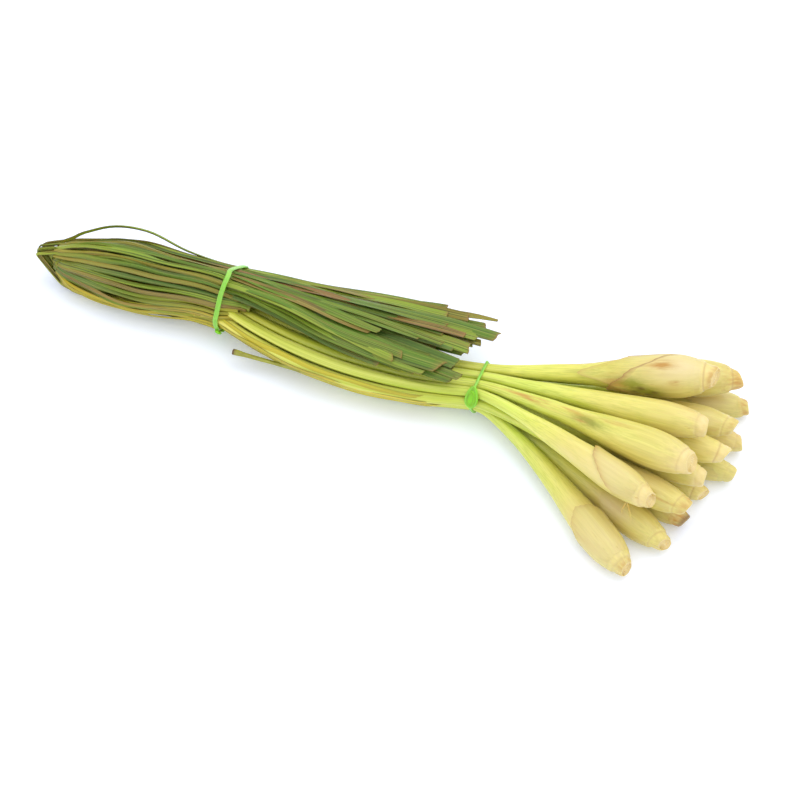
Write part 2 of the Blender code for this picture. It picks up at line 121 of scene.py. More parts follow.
LAYERS_A_ROW = 3
INNERMOST = 11
LAYER_STEP = 1.3
OUT_DIP = 3.3
BULGE_STEP = 1.65
OUT_WIDTH = 5.5
FOLD_X = -270.0
FOLD_Z = 20.8
FOLD_REACH = 0.9
FOLD_STEP = 0.8
FOLD_RETURN = 0.5
BACK_Z = 23.1
BACK_RISE = 6.0
OUT_SPREAD = ((-205.0, 1.08), (-234.0, 1.14), (-258.0, 1.05))
BACK_X = (-258.0, -234.0, -206.0, -168.0, -132.0, -94.0, -58.0, -26.0)
FAN_MIDDLE = 9.5
FAN_FRONT = 0.62
FAN_BACK = 0.725
LOOSE = (0, "06")

# ------------------------ the blades' own shapes
LOOSE_LIFT = 7.6  # the loose leaf lifts this much along this stretch
LOOSE_FROM = -280.0
LOOSE_LENGTH = 112.0
# The blades draw together from PINCH_X to the fold, and the inner ones reach on to its tip.
PINCH_X = -226.0
PINCH_END = FOLD_X + 4.0
PINCH_REACH = 10.0
PINCH_WIDTH = 0.35  # how much nearer the middle they are there
PINCH_RISE = 3.0  # the lowest blade's height at the tip on its way out,
PINCH_STEP = 1.15  # and how much higher each layer is
PINCH = ((-282, -262, -244, -222), (0.42, 0.66, 0.88, 1.0))  # share of height kept
BACK_LIFT = 1.0  # how much higher the returned layers lie than the solids' lines
TIP_LIFT = 2.0
TIP_BACK = (0.5, -1.0, 4.0, 6.0)  # the outer blades' tips reach a little further
# how much nearer the middle the front blades lie, along the bundle
SQUEEZE = ((-222, -185, -140, -90), (0.0, 0.26, 0.26, 0.0))

# layer: for each blade group, its stalk, end x, end y, width, slant of the cut, width at
# the end, and the tints of its blades, side by side from the front to the back
LEAVES = {
    0: (("15", -64, -5, 6, 2, 4.5, "pg"), ("12", -25, 1, 5, 2, 4, "bg"),
        ("06", -40, 36, 4, 1, 3.5, "l")),
    1: (("15", -46, -15, 6, -2, 5, "lg"), ("12", -15, 13, 9, 1, 8, "bdg"),
        ("06", -19, 31, 7, -1, 6.5, "lo")),
    2: (("15", -22, -12, 11, 6, 10, "g"), ("12", -10, 4, 9, -2, 8, "bl"),
        ("06", 3, 20, 10, 2, 9, "lg")),
    3: (("16", -30, -19, 5, 2, 4, "gl"), ("14", -34, 5, 8, 2, 7, "lb"),
        ("09", -28, 17, 8, 0, 7, "blg"), ("03", -38, 44, 9, 1, 8, "ogl")),
    4: (("16", -9, -14, 7, 3, 6, "gb"), ("09", -5, 14, 8, -2, 7, "bo"),
        ("03", -3, 40, 5, 0, 1.6, "o")),
    5: (("14", -14, -5, 9, 3, 8, "gb"), ("09", -20, 10, 8, 1, 7, "bl"),
        ("03", -8, 32, 8, -2, 7, "ogo")),
    6: (("13", -45, -17, 6, 2, 5, "bl"), ("10", -30, 1, 8, 0, 7, "gbo"),
        ("05", -12, 18, 8, 2, 7, "by"), ("01", -50, 42, 7, 1, 6, "og")),
    7: (("10", -16, -8, 8, 2, 7, "bg"), ("08", -26, 10, 8, -1, 7, "gl"),
        ("05", -18, 27, 8, 1, 7, "lg")),
    8: (("13", -32, -12, 8, 1, 7, "gb"), ("08", -14, 7, 8, 2, 7, "lg"),
        ("01", -28, 36, 8, -2, 7, "gl")),
    9: (("11", -40, -9, 8, 2, 7, "gb"), ("04", -24, 13, 8, 1, 7, "gp"),
        ("02", -36, 30, 8, -1, 7, "lo")),
    10: (("11", -52, -6, 7, 2, 6, "gl"), ("07", -38, 8, 8, 1, 7, "by"),
         ("02", -30, 24, 8, 0, 7, "gl")),
    11: (("07", -62, 1, 7, 1, 6, "ol"), ("04", -48, 15, 8, -2, 7, "gl")),
}

# ------------------------ looks
AROUND = 48  # points round a stalk
STEP = 3.0  # distance between its rings
FAN_POINTS = 160  # points of its line from the band to its base
LEAST_Z = 0.02  # nothing lies lower than this
STALKS_APART = 700.0  # how far apart the noise of two stalks, blades or collars is
BLADES_APART = 900.0
COLLARS_APART = 31.0

FLUTES = (0.10, 0.06)  # heights of three and of five flutes round a stalk
FLUTE_ON_BULB = 0.35  # share of them on the bulb
LAP = (0.10, 0.22)  # the outer sheath's edge on the bulb, and how much more on the shaft
SLIM_FROM = 40.0  # where the bulb turns into the shaft
SLIM_LENGTH = 60.0

# Outer sheaths: where the edge is furthest from the cut base (angle round the stalk and
# distance), how near it comes on the other side, how pointed it is, and how brown its rim.
# 90 degrees is the top and 180 the front.
SHEATHS = {
    "02": ((200, 63, 11, 0.6, 1.0), (126, 80, 50, 7.0, 0.8)),
    "01": ((62, 86, 28, 2.6, 1.0), (170, 62, 20, 1.2, 0.3)),
    "11": ((48, 46, 10, 0.8, 0.9),),
    "16": ((104, 44, 4, 0.45, 0.7),),
    "15": ((116, 46, 8, 1.4, 0.4),),
    "05": ((60, 74, 12, 2.6, 0.3),),
    "14": ((230, 60, 16, 1.2, 0.4),),
    "12": ((30, 66, 12, 1.5, 0.3),),
    "09": ((260, 56, 12, 1.2, 0.3),),
    "06": ((320, 72, 14, 1.8, 0.3),),
    "03": ((70, 50, 10, 2.0, 0.5),),
    "13": ((250, 62, 10, 1.3, 0.4),),
}
SHEATH_START = 8.0
SHEATH_NEXT = 3.0  # a second sheath starts this much further up
SHEATH_TAPER = 14.0  # distance over which an edge comes free
SHEATH_THICK = 0.6
SHEATH_LIFT = 0.6  # how far a sheath's edge stands off
# how old some stalks look, from 0 for green to 1 for yellow; the others' age is random
AGES = {"02": 1.0, "11": 0.5, "07": 0.55}
# how far the end of the base is stepped in
STUB = {"16": 1.0, "15": 0.9, "02": 0.9, "01": 0.8, "11": 0.7, "03": 0.7, "13": 0.3}
USUAL_STUB = 0.25
SCAR = (3.4, 2.6, 1.1)  # where the step is: from the cut base, more with age, its wave
BASE = 14.0  # the base's roughness and lean fade out over this distance
FINE = 12.0  # its rings are closer together over this distance
FINE_RINGS = 25
# the cut face: rings of rolled sheath ends, by share of the radius and how far they stand out
CUT_SHARES = np.array((1.0, 0.93, 0.88, 0.80, 0.74, 0.64, 0.57, 0.46, 0.38, 0.26, 0.16, 0.03))
CUT_DEPTHS = np.array((0.0, 0.25, -0.35, 0.2, -0.4, 0.1, -0.45, 0.0, -0.5, 0.1, -0.3, 0.0))
SHOOT_AROUND = 16
SHOOT_RADII = (1.9, 1.9, 1.45, 1.25, 2.0)  # from its broken end to where it leaves the stalk
ROOT_STALK = "11"
ROOT_AT = (12.0, 212.0)  # where its fibre grows: distance from the cut base, and angle
ROOT_FORKS = ((11.0, 2.6), (8.0, -2.4))  # each fork's length and sideways bend
ROOT_RADII = (0.6, 0.25)

# Marks on the skin: distance from the cut base, angle round the stalk, their reach along
# and round it, kind (0 brown, 1 olive, 2 pink and cream, 3 dark), and strength. The broad
# cream mark on the top of 02's bulb is a painted highlight.
MARKS = {
    "01": ((58, 46, 26, 10, 0, 1.4), (58, 42, 24, 7, 3, 0.5), (3, 90, 5, 300, 0, 0.9),
           (30, 120, 20, 50, 2, 0.5)),
    "02": ((30, 104, 9, 18, 0, 1.1), (50, 168, 12, 30, 1, 1.5), (22, 150, 3, 7, 0, 1.3),
           (58, 180, 7, 50, 0, 0.9), (38, 186, 9, 22, 1, 1.4), (42, 172, 3, 6, 3, 0.8),
           (34, 184, 2, 5, 3, 0.8), (46, 190, 2, 6, 3, 0.7), (38, 196, 2, 4, 3, 0.8),
           # painted highlight: this first cream mark stands in for the light on the top of 02's
           # bulb
           (20, 104, 20, 50, 2, 1.3), (62, 48, 30, 12, 0, 1.6), (60, 46, 28, 8, 3, 1.0),
           (1, 90, 2, 300, 0, 0.7), (82, 118, 10, 14, 1, 0.5)),
    "03": ((2, 90, 4, 300, 0, 0.8), (24, 90, 20, 70, 2, 0.6)),
    "04": ((20, 200, 10, 24, 2, 0.7), (2, 90, 3, 300, 2, 0.9)),
    "05": ((30, 120, 20, 50, 2, 0.5), (2, 90, 2, 300, 0, 0.4)),
    "07": ((100, 104, 24, 20, 0, 1.3), (66, 118, 10, 18, 1, 1.8), (82, 96, 14, 14, 0, 0.9),
           (70, 128, 6, 12, 0, 0.8), (52, 88, 16, 8, 0, 0.7), (2, 90, 4, 300, 2, 0.9)),
    "08": ((50, 92, 30, 40, 2, 0.6), (2, 90, 4, 300, 2, 0.9)),
    "09": ((20, 120, 14, 50, 1, 0.3),),
    "10": ((40, 140, 20, 40, 2, 0.7), (2, 90, 5, 300, 2, 1.0)),
    "11": ((34, 120, 24, 70, 2, 0.75), (3, 90, 5, 300, 2, 0.8), (54, 150, 14, 30, 2, 0.6)),
    "13": ((9, 140, 14, 5, 0, 0.8), (2, 90, 3, 300, 0, 0.6), (26, 90, 16, 40, 2, 0.5)),
    "14": ((0, 90, 8, 300, 0, 1.2), (0, 90, 2, 300, 3, 0.8)),
    "15": ((36, 128, 13, 44, 2, 1.0), (36, 118, 12, 40, 0, 0.3), (48, 190, 10, 30, 0, 0.35)),
    "16": ((32, 160, 12, 26, 0, 0.3), (1, 90, 2, 300, 0, 0.6), (24, 120, 26, 80, 2, 0.55)),
}

BLADE_ACROSS = 9  # points across a blade
BLADE_THICK = 0.38
BLADE_STEPS = (4.0, 1.5)  # distance between its points, and round the fold
FOLD_FINE = 26.0  # how far from the fold the steps are short
FOLD_INDEX = 6  # which point of a group's line is the tip of its fold
FOLD_LOOP = 105.0  # distance from there to the rear band
# for a group of one, two or three blades: a blade's share of its width, out and back
SHARE_OUT = (0.80, 0.60, 0.46)
SHARE_BACK = (1.0, 0.86, 0.66)
COLLAR_AROUND = 24
# the collar: distance from the stalk's end, width, thickness, and how far it stands proud
COLLAR = ((4.0, 0.5, 0.5, 0.0), (3.6, 1.0, 1.0, 0.12), (1.0, 1.03, 1.03, 0.2),
          (0.2, 1.08, 1.08, 0.45), (-0.8, 1.05, 1.05, 0.35), (-1.6, 0.98, 0.96, 0.05),
          (-6.0, 0.92, 0.85, 0.0), (-12.0, 0.85, 0.6, 0.0), (-20.0, 0.8, 0.35, 0.0),
          (-26.0, 0.5, 0.1, 0.0))
# Blades lying on the outside of the bundle: stalk, where they run from and to, the angle
# round the bundle at the fold, in the bulge and at the other end (90 degrees is the top, 180
# the front), width, and tint. Those that end behind the rear band are drawn on, in under it.
COVERS = (
    ("05", -283, -130, 82, 84, 88, 4.0, "o"), ("08", -283, -130, 92, 94, 98, 4.2, "g"),
    ("13", -283, -130, 100, 104, 108, 4.2, "l"), ("11", -284, -130, 110, 114, 118, 3.8, "o"),
    ("07", -283, -130, 119, 123, 127, 3.8, "g"), ("11", -284, -150, 128, 132, 134, 3.2, "o"),
    ("10", -283, -150, 137, 143, 141, 4.0, "b"), ("07", -285, -150, 146, 153, 148, 3.8, "l"),
    ("13", -284, -150, 153, 163, 154, 4.2, "p"), ("16", -283, -172, 160, 173, 162, 3.6, "g"),
    ("14", -284, -174, 166, 182, 168, 4.2, "b"), ("11", -283, -176, 172, 191, 174, 3.6, "p"),
    ("13", -284, -178, 178, 200, 182, 4.0, "g"), ("16", -282, -180, 186, 208, 190, 3.8, "y"),
    ("15", -282, -178, 196, 216, 200, 4.2, "y"), ("13", -280, -184, 206, 224, 208, 3.6, "l"),
    ("16", -278, -182, 216, 232, 216, 4.6, "s"), ("15", -277, -180, 228, 241, 226, 4.6, "s"),
)
# Narrow dried stems over the stalks between the bands, in the same way; these run from
# the rear band to the front one.
STEMS = (
    ("11", -172, -20, 150, 156, 164, 3.6, "s"), ("13", -172, -14, 162, 169, 176, 5.0, "w"),
    ("16", -174, -8, 175, 183, 190, 3.4, "s"), ("15", -174, -6, 188, 200, 182, 4.4, "w"),
    ("15", -175, -10, 199, 208, 196, 3.8, "w"), ("16", -172, -12, 210, 214, 208, 3.4, "w"),
)
OUTWARD_RUN = 80.0  # an outward cover has the colours from here along its leaf on,
BACK_RUN = 120.0  # and a returned one those from here on
UNDER_BAND = (REAR_X - 2.0, REAR_X + 13.0)  # covers sink along this stretch, this much
UNDER_SINK = 8.5
ENVELOPE_STEP = 6.0
ENVELOPE_REACH = 4.0  # an outline counts the points this near to it
TINTS = {"d": 0.07, "p": 0.15, "b": 0.30, "g": 0.45, "l": 0.57, "o": 0.69, "y": 0.81,
         "s": 0.93, "w": 0.97}

HELD_REACH = 3.0  # and a band's outline the points this near to its middle
FRONT_CORNERS = 72
FRONT_BITE = 0.35  # how far the front cord presses into the skins
REAR_CORNERS = 96
LOOP_AT = (-1.7, 0.9)  # the loop's middle from the band: along it, and out of it
LOOP_CORD = 1.05  # radius of its cord
# the front knots: how far along and out of the loop's middle, radii, and pattern
FRONT_KNOTS = ((5.0, 0.0, (1.5, 1.9, 1.2), 1), (-0.9, 0.35, (2.6, 4.6, 1.15), 4))
REAR_KNOT = (2.1, 3.3, 1.2)
REAR_KNOT_AT = (0.4, 0.8)  # how far ahead of the band it is, and out of it
KNOT_ROWS = 20
KNOT_AROUND = 28


def unit(v):
    return v / np.linalg.norm(v)


def units(rows):
    return rows / np.linalg.norm(rows, axis=1)[:, None]


def square_to(side, along):
    """Directions made square to a line's own."""
    return units(side - along * (side * along).sum(1)[:, None])


def lerp(x, table):
    """The value at x of a table against x."""
    return float(np.interp(x, *table))


def sample(at, run, rows):
    """Rows that are given at distances run, at other distances."""
    return np.stack([np.interp(at, run, rows[:, k]) for k in range(rows.shape[1])], -1)


def distances(line):
    """How far along a line each of its points is."""
    return np.concatenate(((0.0,), np.cumsum(np.linalg.norm(np.diff(line, axis=0), axis=1))))


def circle(count):
    return np.arange(count) / count * TAU


def spread(*columns):
    """Grids of numbers as the coordinates of one grid."""
    return np.stack(np.broadcast_arrays(*columns), -1)


def swept(line, side, up, u, v):
    """Each point of a line, moved by a row of u along side and of v along up."""
    return line[:, None] + side[:, None] * u[..., None] + up[:, None] * v[..., None]


def bell(x, width):
    return np.exp(-(x / width) ** 2)


# ------------------------ lines of the layout
def spine_y(x):
    """The middle of the bundle, as a distance from the front band's middle."""
    return lerp(x, SPINE)


def back_y(x):
    """The middle of the returned leaves, which fan out over the stalks."""
    return spine_y(min(x, REAR_X))


def arch(x, edge=0.0):
    """How far a layer drops to its sides (mm per square mm), down to edge at x = 0."""
    return lerp(x, ((REAR_X, 0), (ARCH, edge)))


def place(x, offset, z, slope, middle):
    """A point of the bundle and the direction across it, turned with the bundle."""
    roll = math.radians(lerp(x, ROLL))
    c, s = math.cos(roll), math.sin(roll)
    up = z - AXIS_Z
    point = np.array((x, middle + c * offset + s * up, AXIS_Z - s * offset + c * up))
    return point, np.array((0.0, c + s * slope, c * slope - s))


def lane(row, col, x):
    """Centre, half width and half thickness of a sheath, and the direction across it."""
    t = x / REAR_X
    if t < 1.0:
        swell = math.sin(math.pi * max(t, 0.0)) ** 0.8
    else:
        swell = 0.0
    t = min(t, 1.0)
    pitch = PACK_PITCH + (SHEATH_PITCH - PACK_PITCH) * t
    offset = col * pitch
    middle = spine_y(x) - swell * (BOW - BOW_BY_COLUMN * col)
    z_front = PACK_Z + (row - MIDDLE_ROW) * PACK_ROW
    z_rear = SHEATH_Z + row * SHEATH_ROW
    z = z_front + (z_rear - z_front) * t - swell * (SAG - SAG_BY_ROW * row)
    z -= arch(x) * offset ** 2
    half = []
    for mid, rear in zip(MID_HALF, SHEATH_HALF):
        plain = PACK_RADIUS + (rear - PACK_RADIUS) * t
        half.append(plain + (mid - (PACK_RADIUS + rear) / 2) * swell)
    centre, side = place(x, offset, z, -2.0 * arch(x) * offset, middle)
    return centre, half, side


def fan(name):
    """A stalk's middle line from the front band to its cut base."""
    row, col, yaw, reach, height = STALKS[name][:5]
    start = lane(row, col, 0.0)[0]
    yaw = math.radians(yaw)
    end = np.array((reach * math.cos(yaw), reach * math.sin(yaw), height))
    length = np.linalg.norm(end - start)
    run = (end - start) / length
    splay = SPLAY.get(name, USUAL_SPLAY)
    leave = unit(np.array((1.0, splay * run[1] / run[0], 0.9 * run[2] / run[0])))
    near, far = start + 0.3 * length * leave, end - 0.35 * length * run
    t = np.linspace(0.0, 1.0, FAN_POINTS)[:, None]
    return (start * (1 - t) ** 3 + near * 3 * t * (1 - t) ** 2
            + far * 3 * t ** 2 * (1 - t) + end * t ** 3)


def bulb_radii(name, length):
    """Distances from the cut base and the radii there, out to the front band."""
    radius = STALKS[name][5] / 2
    steps = [(s, min(share * radius, THICKEST_SHAFT) if s > SHAFT else share * radius)
             for s, share in BULB]
    steps.append((length - NECK, max(NECK_LEAST, NECK_SHARE * radius)))
    steps.append((length - PACKED, PACK_RADIUS + 0.05))
    steps.append((length, PACK_RADIUS))
    return steps


# ------------------------ lines and meshes
def soften(rows, width):
    """Rows smoothed along their length by about this many steps, with both ends kept."""
    rows = np.asarray(rows, float)
    reach = min(int(3 * width) + 1, len(rows) - 1)
    kernel = np.exp(-0.5 * (np.arange(-reach, reach + 1) / width) ** 2)
    kernel /= kernel.sum()
    head = 2 * rows[0] - rows[1:reach + 1][::-1]
    tail = 2 * rows[-1] - rows[-reach - 1:-1][::-1]
    padded = np.concatenate((head, rows, tail))
    return np.stack([np.convolve(column, kernel, "valid") for column in padded.T], 1)


def through(rows, at, grid):
    """A smooth line through rows given at increasing distances (Catmull-Rom)."""
    slopes = np.gradient(rows, at, axis=0)
    k = np.clip(np.searchsorted(at, grid, "right") - 1, 0, len(at) - 2)
    span = (at[k + 1] - at[k])
    t = (grid - at[k]) / span
    if rows.ndim == 2:
        t, span = t[:, None], span[:, None]
    return ((2 * t ** 3 - 3 * t ** 2 + 1) * rows[k] + (t ** 3 - 2 * t ** 2 + t) * span * slopes[k]
            + (3 * t ** 2 - 2 * t ** 3) * rows[k + 1] + (t ** 3 - t ** 2) * span * slopes[k + 1])


def wander(seed, scale):
    """A smooth random function of distance, about -1 to 1, that changes over scale mm."""
    rng = np.random.default_rng(seed)
    turns = rng.uniform(0.5, 1.6, 4) / scale
    phases = rng.uniform(0, TAU, 4)
    return lambda t: sum(np.sin(TAU * f * t + p) for f, p in zip(turns, phases)) / 2.6


def filled(shape, *values):
    """A grid of this shape with these values at every point, each a number or a grid."""
    return spread(np.zeros(shape), *values)[..., 1:]


def traits(shape, s=0.0, age=0.0, rim=0.0, tint=0.0):
    """Distance along (m), age, rim and tint for every point of a grid."""
    return filled(shape, np.asarray(s) * MM, age, rim, tint)


class Sheet:
    """Points, faces and attributes of one mesh under construction."""

    def __init__(self):
        self.faces, self.count = [], 0
        self.rows = {"points": [], "flat": [], "traits": [], "marks": []}

    def add(self, grid, flat, values, spots=None, first=False, last=False):
        """A grid of points (rows, around): each row is joined to the next, and the first
        and the last can be closed."""
        shape = grid.shape[:2]
        spots = np.zeros(shape + (4,)) if spots is None else spots
        for rows, new in zip(self.rows.values(), (grid, flat, values, spots)):
            rows.append(new.reshape(-1, new.shape[-1]))
        index = self.count + np.arange(shape[0] * shape[1]).reshape(shape)
        self.count += index.size
        after = np.roll(index, -1, axis=1)
        quads = np.stack((index[:-1], after[:-1], after[1:], index[1:]), -1)
        self.faces += quads.reshape(-1, 4).tolist()
        if first:
            self.faces.append(index[0][::-1].tolist())
        if last:
            self.faces.append(index[-1].tolist())

    def make(self, name, material, slot, angle=45.0):
        """The mesh as an object on the part's one body; edges over angle stay sharp."""
        points, flat, *colours = (np.concatenate(rows) for rows in self.rows.values())
        points[:, 2] = np.maximum(points[:, 2], LEAST_Z)
        points = (points - (ORIGIN[0], ORIGIN[1], 0.0)) * MM
        mesh = bpy.data.meshes.new(name)
        mesh.from_pydata(points.tolist(), [], self.faces)
        straight = mesh.attributes.new("flat", "FLOAT_VECTOR", "POINT")
        straight.data.foreach_set("vector", (flat * MM).ravel())
        for key, rows in zip(("traits", "marks"), colours):
            colour = mesh.attributes.new(key, "FLOAT_COLOR", "POINT")
            colour.data.foreach_set("color", rows.ravel())
        bm = bmesh.new()
        bm.from_mesh(mesh)
        bmesh.ops.recalc_face_normals(bm, faces=bm.faces)
        bm.to_mesh(mesh)
        bm.free()
        mesh.shade_smooth()
        mesh.set_sharp_from_angle(angle=math.radians(angle))
        mesh.materials.append(material)
        ob = bpy.data.objects.new(name, mesh)
        bpy.context.scene.collection.objects.link(ob)
        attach(ob, "root")
        return ob


def tube(sheet, line, radius, sides=14, cyclic=True, face=AHEAD, rim=0.0, brown=0.0):
    """A round cord along a line of points."""
    line = np.asarray(line, float)
    radius = np.broadcast_to(np.asarray(radius, float), (len(line),))[:, None]
    if cyclic:
        along = units(np.roll(line, -1, axis=0) - np.roll(line, 1, axis=0))
    else:
        along = units(np.gradient(line, axis=0))
    side = units(np.cross(along, face))
    t = circle(sides)
    grid = swept(line, side, np.cross(side, along), np.cos(t) * radius, np.sin(t) * radius)
    flat = spread(distances(line)[:, None], np.cos(t), np.sin(t))
    if cyclic:
        grid = np.concatenate((grid, grid[:1]))
        flat = np.concatenate((flat, flat[:1]))
    shape = grid.shape[:2]
    sheet.add(grid, flat, traits(shape, rim=rim), filled(shape, brown, 0.0, 0.0, 0.0),
              first=not cyclic, last=not cyclic)


# ------------------------ stalks
class Stalk:
    """A stalk's middle line from its cut base to its collar, and its shape round it."""

    def __init__(self, name):
        row, col = STALKS[name][:2]
        self.name, self.seed = name, int(name)
        line = fan(name)[::-1]
        run = distances(line)
        self.band_s = run[-1]
        fan_s = np.arange(0.0, self.band_s - 1.0, STEP)
        radius = np.interp(fan_s, *zip(*bulb_radii(name, self.band_s)))
        xs = np.arange(-STEP / 2, REAR_X - STALKS[name][6] - 0.1, -STEP)
        centre, half, side = (np.array(rows) for rows in zip(*(lane(row, col, x) for x in xs)))
        self.centre = soften(np.concatenate((sample(fan_s, run, line), centre)), 2.0)
        self.half = soften(np.concatenate((spread(radius, radius), half)), 1.5)
        level = np.tile(ACROSS, (len(fan_s), 1))
        side = units(soften(np.concatenate((level, units(side))), 4.0))
        self.s = distances(self.centre)
        along = units(np.gradient(self.centre, axis=0))
        self.side = square_to(side, along)
        self.up = np.cross(self.side, along)
        self.lobe = wander(self.seed, 90.0)
        self.drift = wander(self.seed + 50, 160.0)
        rng = np.random.default_rng(self.seed)
        self.seam = rng.uniform(0, TAU)
        self.age = AGES.get(name, rng.uniform(0.0, 1.0))

    def at(self, s, rows):
        return sample(s, self.s, rows)

    def surface(self, s, theta, extra=0.0):
        """Points at distances s and angles theta, this far outside the skin."""
        s, theta = np.broadcast_arrays(np.asarray(s, float), np.asarray(theta, float))
        slim = np.clip((s - SLIM_FROM) / SLIM_LENGTH, 0.0, 1.0)
        flute = FLUTES[0] * np.sin(3 * theta + 2.5 * self.lobe(s))
        flute = flute + FLUTES[1] * np.sin(5 * theta + 9 * self.age)
        lap = ((theta - self.seam - 0.7 * self.drift(s)) / TAU) % 1.0
        bump = (FLUTE_ON_BULB + (1 - FLUTE_ON_BULB) * slim) * flute
        bump = bump + (LAP[0] + LAP[1] * slim) * (0.5 - lap)
        half = self.at(s, self.half)
        u = np.cos(theta) * (half[..., 0] + bump + extra)
        v = np.sin(theta) * (half[..., 1] + bump + extra)
        return (self.at(s, self.centre) + self.at(s, self.side) * u[..., None]
                + self.at(s, self.up) * v[..., None])

    def straight(self, s, theta, apart=0.0):
        """The same points as if the stalk were straight."""
        radius = self.at(s, self.half).mean(-1)
        return spread(s + STALKS_APART * self.seed + apart, radius * np.cos(theta),
                      radius * np.sin(theta))


def marks(name, s, theta):
    """How marked the skin is at each point: brown, olive, pink (with one painted highlight) and
    dark.
    """
    out = np.zeros(s.shape + (4,))
    for at_s, at_theta, long, wide, kind, strength in MARKS.get(name, ()):
        turn = (np.degrees(theta) - at_theta + 180.0) % 360.0 - 180.0
        spot = strength * bell(s - at_s, long) * bell(turn, wide)
        out[..., kind] = np.maximum(out[..., kind], spot)
    return out


def side_shoot(sheet):
    """A short shoot beside a stalk, broken off, with a dark end."""
    row, col = STALKS[SHOOT_STALK][:2]
    at = np.array([p[0] for p in SHOOT])[::-1]
    points = np.array([lane(row, col, x)[0] + (0.0, y, z) for x, y, z in SHOOT])[::-1]
    x = np.arange(at[0], at[-1] + 0.1, STEP / 2)
    line = through(points, at, x)
    radius = np.interp(x, (at[0], at[0] + 3, at[0] + 8, at[1], at[2]), SHOOT_RADII)
    # two small rings make the broken end hollow
    line = np.concatenate((line[:1] + (0.7, 0, 0), line[:1] + (-0.1, 0, 0), line))
    radius = np.concatenate(((0.3, 1.3), radius))[:, None]
    along = units(np.gradient(line, axis=0))
    side = units(np.cross(along, (0.0, 0.0, 1.0)))
    theta = circle(SHOOT_AROUND)
    ridge = 1 + 0.07 * np.cos(5 * theta)
    grid = swept(line, side, np.cross(side, along), np.cos(theta) * ridge * radius,
                 np.sin(theta) * ridge * radius)
    run = line[:, 0] - line[0, 0]
    flat = spread(run[:, None] + 9000.0, np.cos(theta) * 1.5, np.sin(theta) * 1.5)
    shape = grid.shape[:2]
    dark = (0.22 + 0.6 * np.exp(-run / 0.9))[:, None]
    sheet.add(grid, flat, traits(shape, 200.0, 0.1), filled(shape, 0.0, 1.0, 0.0, dark),
              first=True, last=True)


def root_fibre(sheet, stalk):
    """A short forked root fibre hanging from the base of one stalk."""
    first = stalk.surface(ROOT_AT[0], math.radians(ROOT_AT[1]), -0.3)
    t = np.linspace(0, 1, 9)[:, None]
    for reach, sway in ROOT_FORKS:
        away = np.array((0.15 + 0.12 * sway, -0.75, -0.45)) * reach
        line = first + away * t + np.array((sway, 0.0, -1.0)) * t * (1 - t)
        tube(sheet, line, np.linspace(*ROOT_RADII, len(t)), sides=7, cyclic=False, brown=1.2)


def stalk_skin(sheet, stalk):
    """The skin from the cut base to the collar. Gives its first ring, and the rings that
    close its far end."""
    s = np.concatenate((np.linspace(0, FINE, FINE_RINGS), stalk.s[stalk.s > FINE]))
    s, theta = np.meshgrid(s, circle(AROUND), indexing="ij")
    # the base is stepped in below a scar, and the rim of the cut is rounded
    scar_at = SCAR[0] + SCAR[1] * stalk.age + SCAR[2] * np.sin(theta + stalk.seam)
    scar = -STUB.get(stalk.name, USUAL_STUB) / (1 + np.exp((s - scar_at) / 0.35))
    scar = scar - 0.25 * bell(s - scar_at, 0.5)
    rim = -0.5 * np.clip(1.0 - s / 1.2, 0.0, 1.0) ** 2
    near = np.clip(1.0 - s / BASE, 0, 1)
    rough = 0.16 * near * np.sin(7 * theta + s + stalk.seam)
    grid = stalk.surface(s, theta, scar + rim + rough)
    # the cut leans a little, its own way
    lean = near * 1.5 * np.cos(theta - stalk.seam * 2) * (0.4 + stalk.age)
    grid = grid + unit(stalk.centre[1] - stalk.centre[0]) * lean[..., None]
    dry = 0.45 * np.exp(-s / 4.0) + (0.15 + 0.5 * stalk.age) * bell(s - scar_at, 0.8)
    flat = stalk.straight(s, theta)
    sheet.add(grid, flat, traits(s.shape, s, stalk.age, dry), marks(stalk.name, s, theta))
    # the far end closes inside the leaves' collar
    end = grid[-1]
    tip = end.mean(0)
    closing = np.stack((end, tip + (end - tip) * 0.8, tip + (end - tip) * 0.1))
    closed = (closing, np.stack((flat[-1],) * 3), traits((3, AROUND), s[-1], stalk.age))
    return grid[0], closed


def cut_face(sheet, stalk, base):
    """The cut: the ends of the rolled sheaths, as rings inside the base's outline."""
    theta = circle(AROUND)
    middle = base.mean(0)
    shares = CUT_SHARES[:, None]
    depth = CUT_DEPTHS[:, None] * (1 + 0.25 * np.sin(theta + stalk.seam))
    inward = unit(stalk.centre[1] - stalk.centre[0])
    ring = middle + (base - middle) * shares[..., None] - inward * depth[..., None]
    shape = ring.shape[:2]
    flat = spread(STALKS_APART * stalk.seed - 5.0, shares * np.cos(theta) * 6,
                  shares * np.sin(theta) * 6)
    ringed = 0.05 + 0.60 * (np.arange(len(shares)) % 2)[:, None]
    pale = marks(stalk.name, np.zeros(shape), np.broadcast_to(theta, shape))
    pale[..., 0] *= 0.4
    pale[..., 2] = 1.0
    sheet.add(ring, flat, traits(shape, 0.0, stalk.age, ringed), pale, last=True)


def stalk_mesh(stalk, material):
    sheet = Sheet()
    base, closed = stalk_skin(sheet, stalk)
    cut_face(sheet, stalk, base)
    sheet.add(*closed, last=True)
    if stalk.name == SHOOT_STALK:
        side_shoot(sheet)
    if stalk.name == ROOT_STALK:
        root_fibre(sheet, stalk)
    ob = sheet.make("skin_" + stalk.name, material, "stalk")
    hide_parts("stalk_" + stalk.name)
    return ob


def folded(over, under):
    """Rows of the outside, then of the inside on the way back, closed on the first row."""
    return np.concatenate((over, under[::-1], over[:1]))


